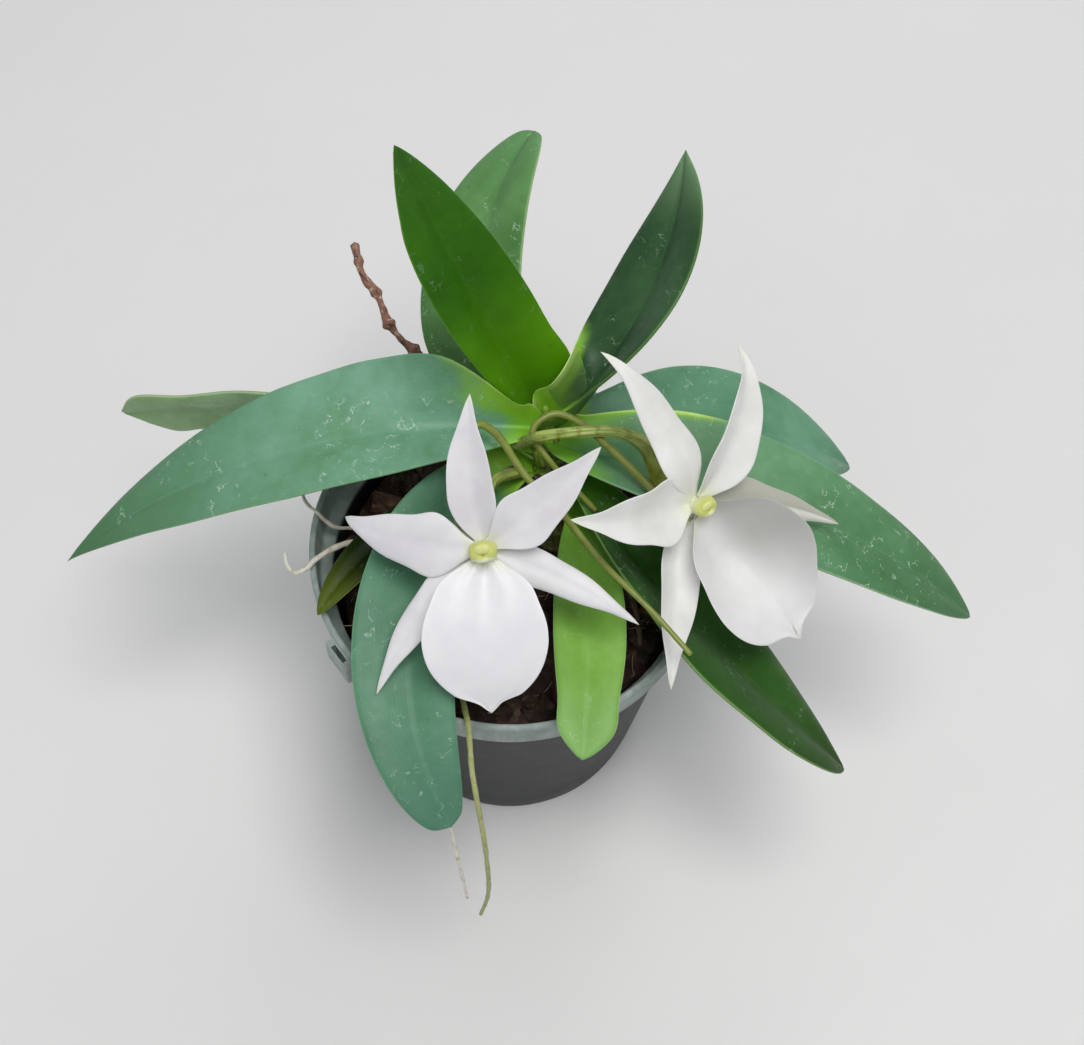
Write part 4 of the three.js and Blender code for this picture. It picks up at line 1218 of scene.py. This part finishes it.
def strands(name, starts, rng):
    """Many short bent hairs in one mesh, each a tapering five-sided tube."""
    points, faces, along = [], [], []
    for foot, lean, length, radius, bend in starts:
        way, spot = lean.copy(), foot.copy()
        first = len(points)
        for i in range(6):
            side = way.orthogonal().normalized()
            other = way.cross(side)
            size = radius * (1 - 0.75 * i / 5)
            for j in range(5):
                turn = 2 * math.pi * j / 5
                points.append(tuple(spot + size * (math.cos(turn) * side + math.sin(turn) * other)))
                along.append(i / 5)
            spot += way * length / 5
            way = (way + bend * 0.4 * Vector((rng.gauss(0, 1), rng.gauss(0, 1), -0.35 * bend))).normalized()
        for i in range(5):
            for j in range(5):
                a, b = first + 5 * i + j, first + 5 * i + (j + 1) % 5
                faces.append((a, b, b + 5, a + 5))
        faces.append(tuple(first + j for j in reversed(range(5))))
        faces.append(tuple(first + 25 + j for j in range(5)))
    return new_object(name, points, faces, {"along": along})


def build_chips(material):
    """The larger chips that lie on top, each in its own frame chip's place and as big."""
    for number in range(1, 11):
        node = f"bark_chip_{number}"
        points, _ = corners(node)
        centre = points.mean(0)
        rng = random.Random(100 + number)
        spread = points - centre
        ways = np.linalg.eigh(spread.T @ spread)[1]
        size = [2 * np.abs(spread @ ways[:, k]).max() for k in (2, 1, 0)]
        piece, sides = chunk(rng, size)
        rows = [centre + p.x * ways[:, 2] + p.y * ways[:, 1] + p.z * ways[:, 0] for p in piece]
        thing = new_object(f"{node}_piece", rows, sides, shade_smooth=False)
        outward(thing)
        placed(thing, material, "bark", node)


# ---- stem, roots, dead parts ---------------------------------------------------------------------

def sheath_radius(s, radius):
    """Nine old leaf sheaths, one out of the other, closing in at the crown."""
    teeth = (s * 9) % 1
    return radius * (1.02 + 0.14 * teeth) * (1 - 0.7 * np.clip((s - 0.82) / 0.18, 0, 1))


def build_stem():
    """Short upright stem, ringed by old leaf sheaths, green at the crown."""
    foot = np.array(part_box("stem")[0])
    material = tube_material("stem_sheaths", (0.12, 0.08, 0.035), (0.3, 0.5, 0.05), (0.07, 0.05, 0.015),
                             0.75, 0.5, stripes=17, fleck=(0.4, 0.33, 0.2))
    piece = tube("stem_body", "stem", foot, sheath_radius, {"lumps": 0.4, "lump_size": 4}, 40, 150)
    placed(piece, material, "stem", "stem")


def build_roots():
    living = tube_material("root_living", (0.40, 0.42, 0.12), (0.38, 0.40, 0.20), (0.28, 0.30, 0.1),
                           0.65, 0.25, fleck=(0.6, 0.6, 0.45), glow=0.1)
    pale = tube_material("root_dry", (0.62, 0.56, 0.45), (0.80, 0.77, 0.69), (0.52, 0.45, 0.34),
                         0.8, 0.4, fleck=(0.75, 0.72, 0.62))
    brown = tube_material("root_dead", (0.12, 0.08, 0.05), (0.22, 0.16, 0.1), (0.05, 0.035, 0.02), 0.85, 0.3)
    kinds = {
        "root_over_rim_long": (living, "live_root"), "root_over_rim_short": (pale, "dry_root"),
        "root_live": (living, "live_root"), "root_buried": (brown, "dry_root"),
        "root_dry_spike": (pale, "dry_root"), "root_dry_curl": (pale, "dry_root"),
    }
    stem = stem_axis()[5]
    for node, (material, slot) in kinds.items():
        slim = 0.52 if "rim" in node else 0.82
        look = {"lumps": 0.18, "lump_size": 3.5, "seed": len(node)}
        piece = tube(f"{node}_tube", node, stem, lambda s, radius: slim * radius, look, 18, 150)
        placed(piece, material, slot, node)


def knuckled_radius(s, radius):
    """Seven swollen joints along last year's stalk."""
    return radius * (0.88 + 0.55 * bell((s * 7) % 1, 0.5, 0.12))


def build_dead_parts():
    axis = stem_axis()
    dry = tube_material("dry_stalk", (0.17, 0.06, 0.035), (0.32, 0.16, 0.11), (0.08, 0.03, 0.018), 0.65, 0.4,
                        fleck=(0.88, 0.8, 0.74))
    piece = tube("old_flower_stalk_tube", "old_flower_stalk", axis[-3], knuckled_radius,
                 {"lumps": 0.35, "lump_size": 2}, 18, 160)
    placed(piece, dry, "dead_tissue", "old_flower_stalk")
    papery = tube_material("bract_paper", (0.10, 0.06, 0.06), (0.3, 0.22, 0.2), (0.06, 0.03, 0.04), 0.75, 0.1)
    for number in (1, 2, 3):
        node = f"dried_bract_{number}"
        look = {"thickness": 0.5, "crease": 0.3, "groove": 0.1, "keel": 0.1, "wave": 0.9, "wave_size": 4,
                "seed": number}
        bract = blade(f"{node}_scale", blade_stations(node, axis[-4]), look, 30, 6)
        placed(bract, papery, "dead_tissue", node)


# ---- floor, lights and camera --------------------------------------------------------------------

def build_stage():
    """A pale painted floor, 6 m across."""
    corner = [(-3, -3, 0), (3, -3, 0), (3, 3, 0), (-3, 3, 0)]
    floor = new_object("floor", corner, [(0, 1, 2, 3)], shade_smooth=False)
    paint = Paint("floor_paint", Roughness=0.75)
    colour = np.array([0.80, 0.80, 0.785])
    paint.set("Base_Color", paint.mix(paint.noise(60, 3), colour, 0.96 * colour))
    floor.data.materials.append(paint.material)


def soft_light(name, place, size, power, colour=(1, 1, 1)):
    """A round soft light that faces the plant."""
    data = bpy.data.lights.new(name, "AREA")
    data.shape = "DISK"
    data.size = size
    data.energy = power
    data.color = colour
    light = bpy.data.objects.new(name, data)
    light.location = place
    light.rotation_euler = (Vector((0, 0, 0.12)) - Vector(place)).to_track_quat("-Z", "Y").to_euler()
    bpy.context.scene.collection.objects.link(light)


def build_lights():
    """A key light nearly overhead, a weak fill from the left, a rim light from behind, a pale sky."""
    soft_light("key", (0.15, -0.22, 1.25), 0.55, 8.0, (1.0, 0.99, 0.97))
    soft_light("fill", (-0.7, -0.8, 0.8), 1.0, 1.5, (0.96, 0.98, 1.0))
    soft_light("back", (0.35, 0.95, 0.8), 0.7, 2.6)
    world = bpy.data.worlds.new("studio")
    world.use_nodes = True
    background = world.node_tree.nodes["Background"]
    background.inputs["Color"].default_value = (0.93, 0.95, 1.0, 1)
    background.inputs["Strength"].default_value = 0.38
    bpy.context.scene.world = world


def build_camera():
    """Looks down at the rim from the front, 62 degrees above the table and 0.5 m away."""
    elevation = math.radians(62)
    distance = 0.5
    target = Vector((0, 0, pot_sizes()[1]))
    data = bpy.data.cameras.new("camera")
    data.sensor_width = 36
    data.lens = 56.1
    data.shift_x = 0.0295
    data.shift_y = 0.018
    camera = bpy.data.objects.new("camera", data)
    camera.location = target + distance * Vector((0, -math.cos(elevation), math.sin(elevation)))
    camera.rotation_euler = (target - camera.location).to_track_quat("-Z", "Y").to_euler()
    bpy.context.scene.collection.objects.link(camera)
    bpy.context.scene.camera = camera
    bpy.context.scene.view_settings.view_transform = "Standard"


def build_all():
    build_stage()
    build_lights()
    build_camera()
    build_pot(plastic_material())
    build_mix(bark_material("bark_fine", (0.008, 0.005, 0.004), (0.045, 0.022, 0.014), (0.17, 0.10, 0.065)))
    build_chips(bark_material("bark_chip", (0.022, 0.010, 0.006), (0.115, 0.048, 0.028), (0.27, 0.17, 0.115)))
    build_litter()
    build_stem()
    build_roots()
    build_dead_parts()
    build_leaves()
    build_flowers()


build_all()
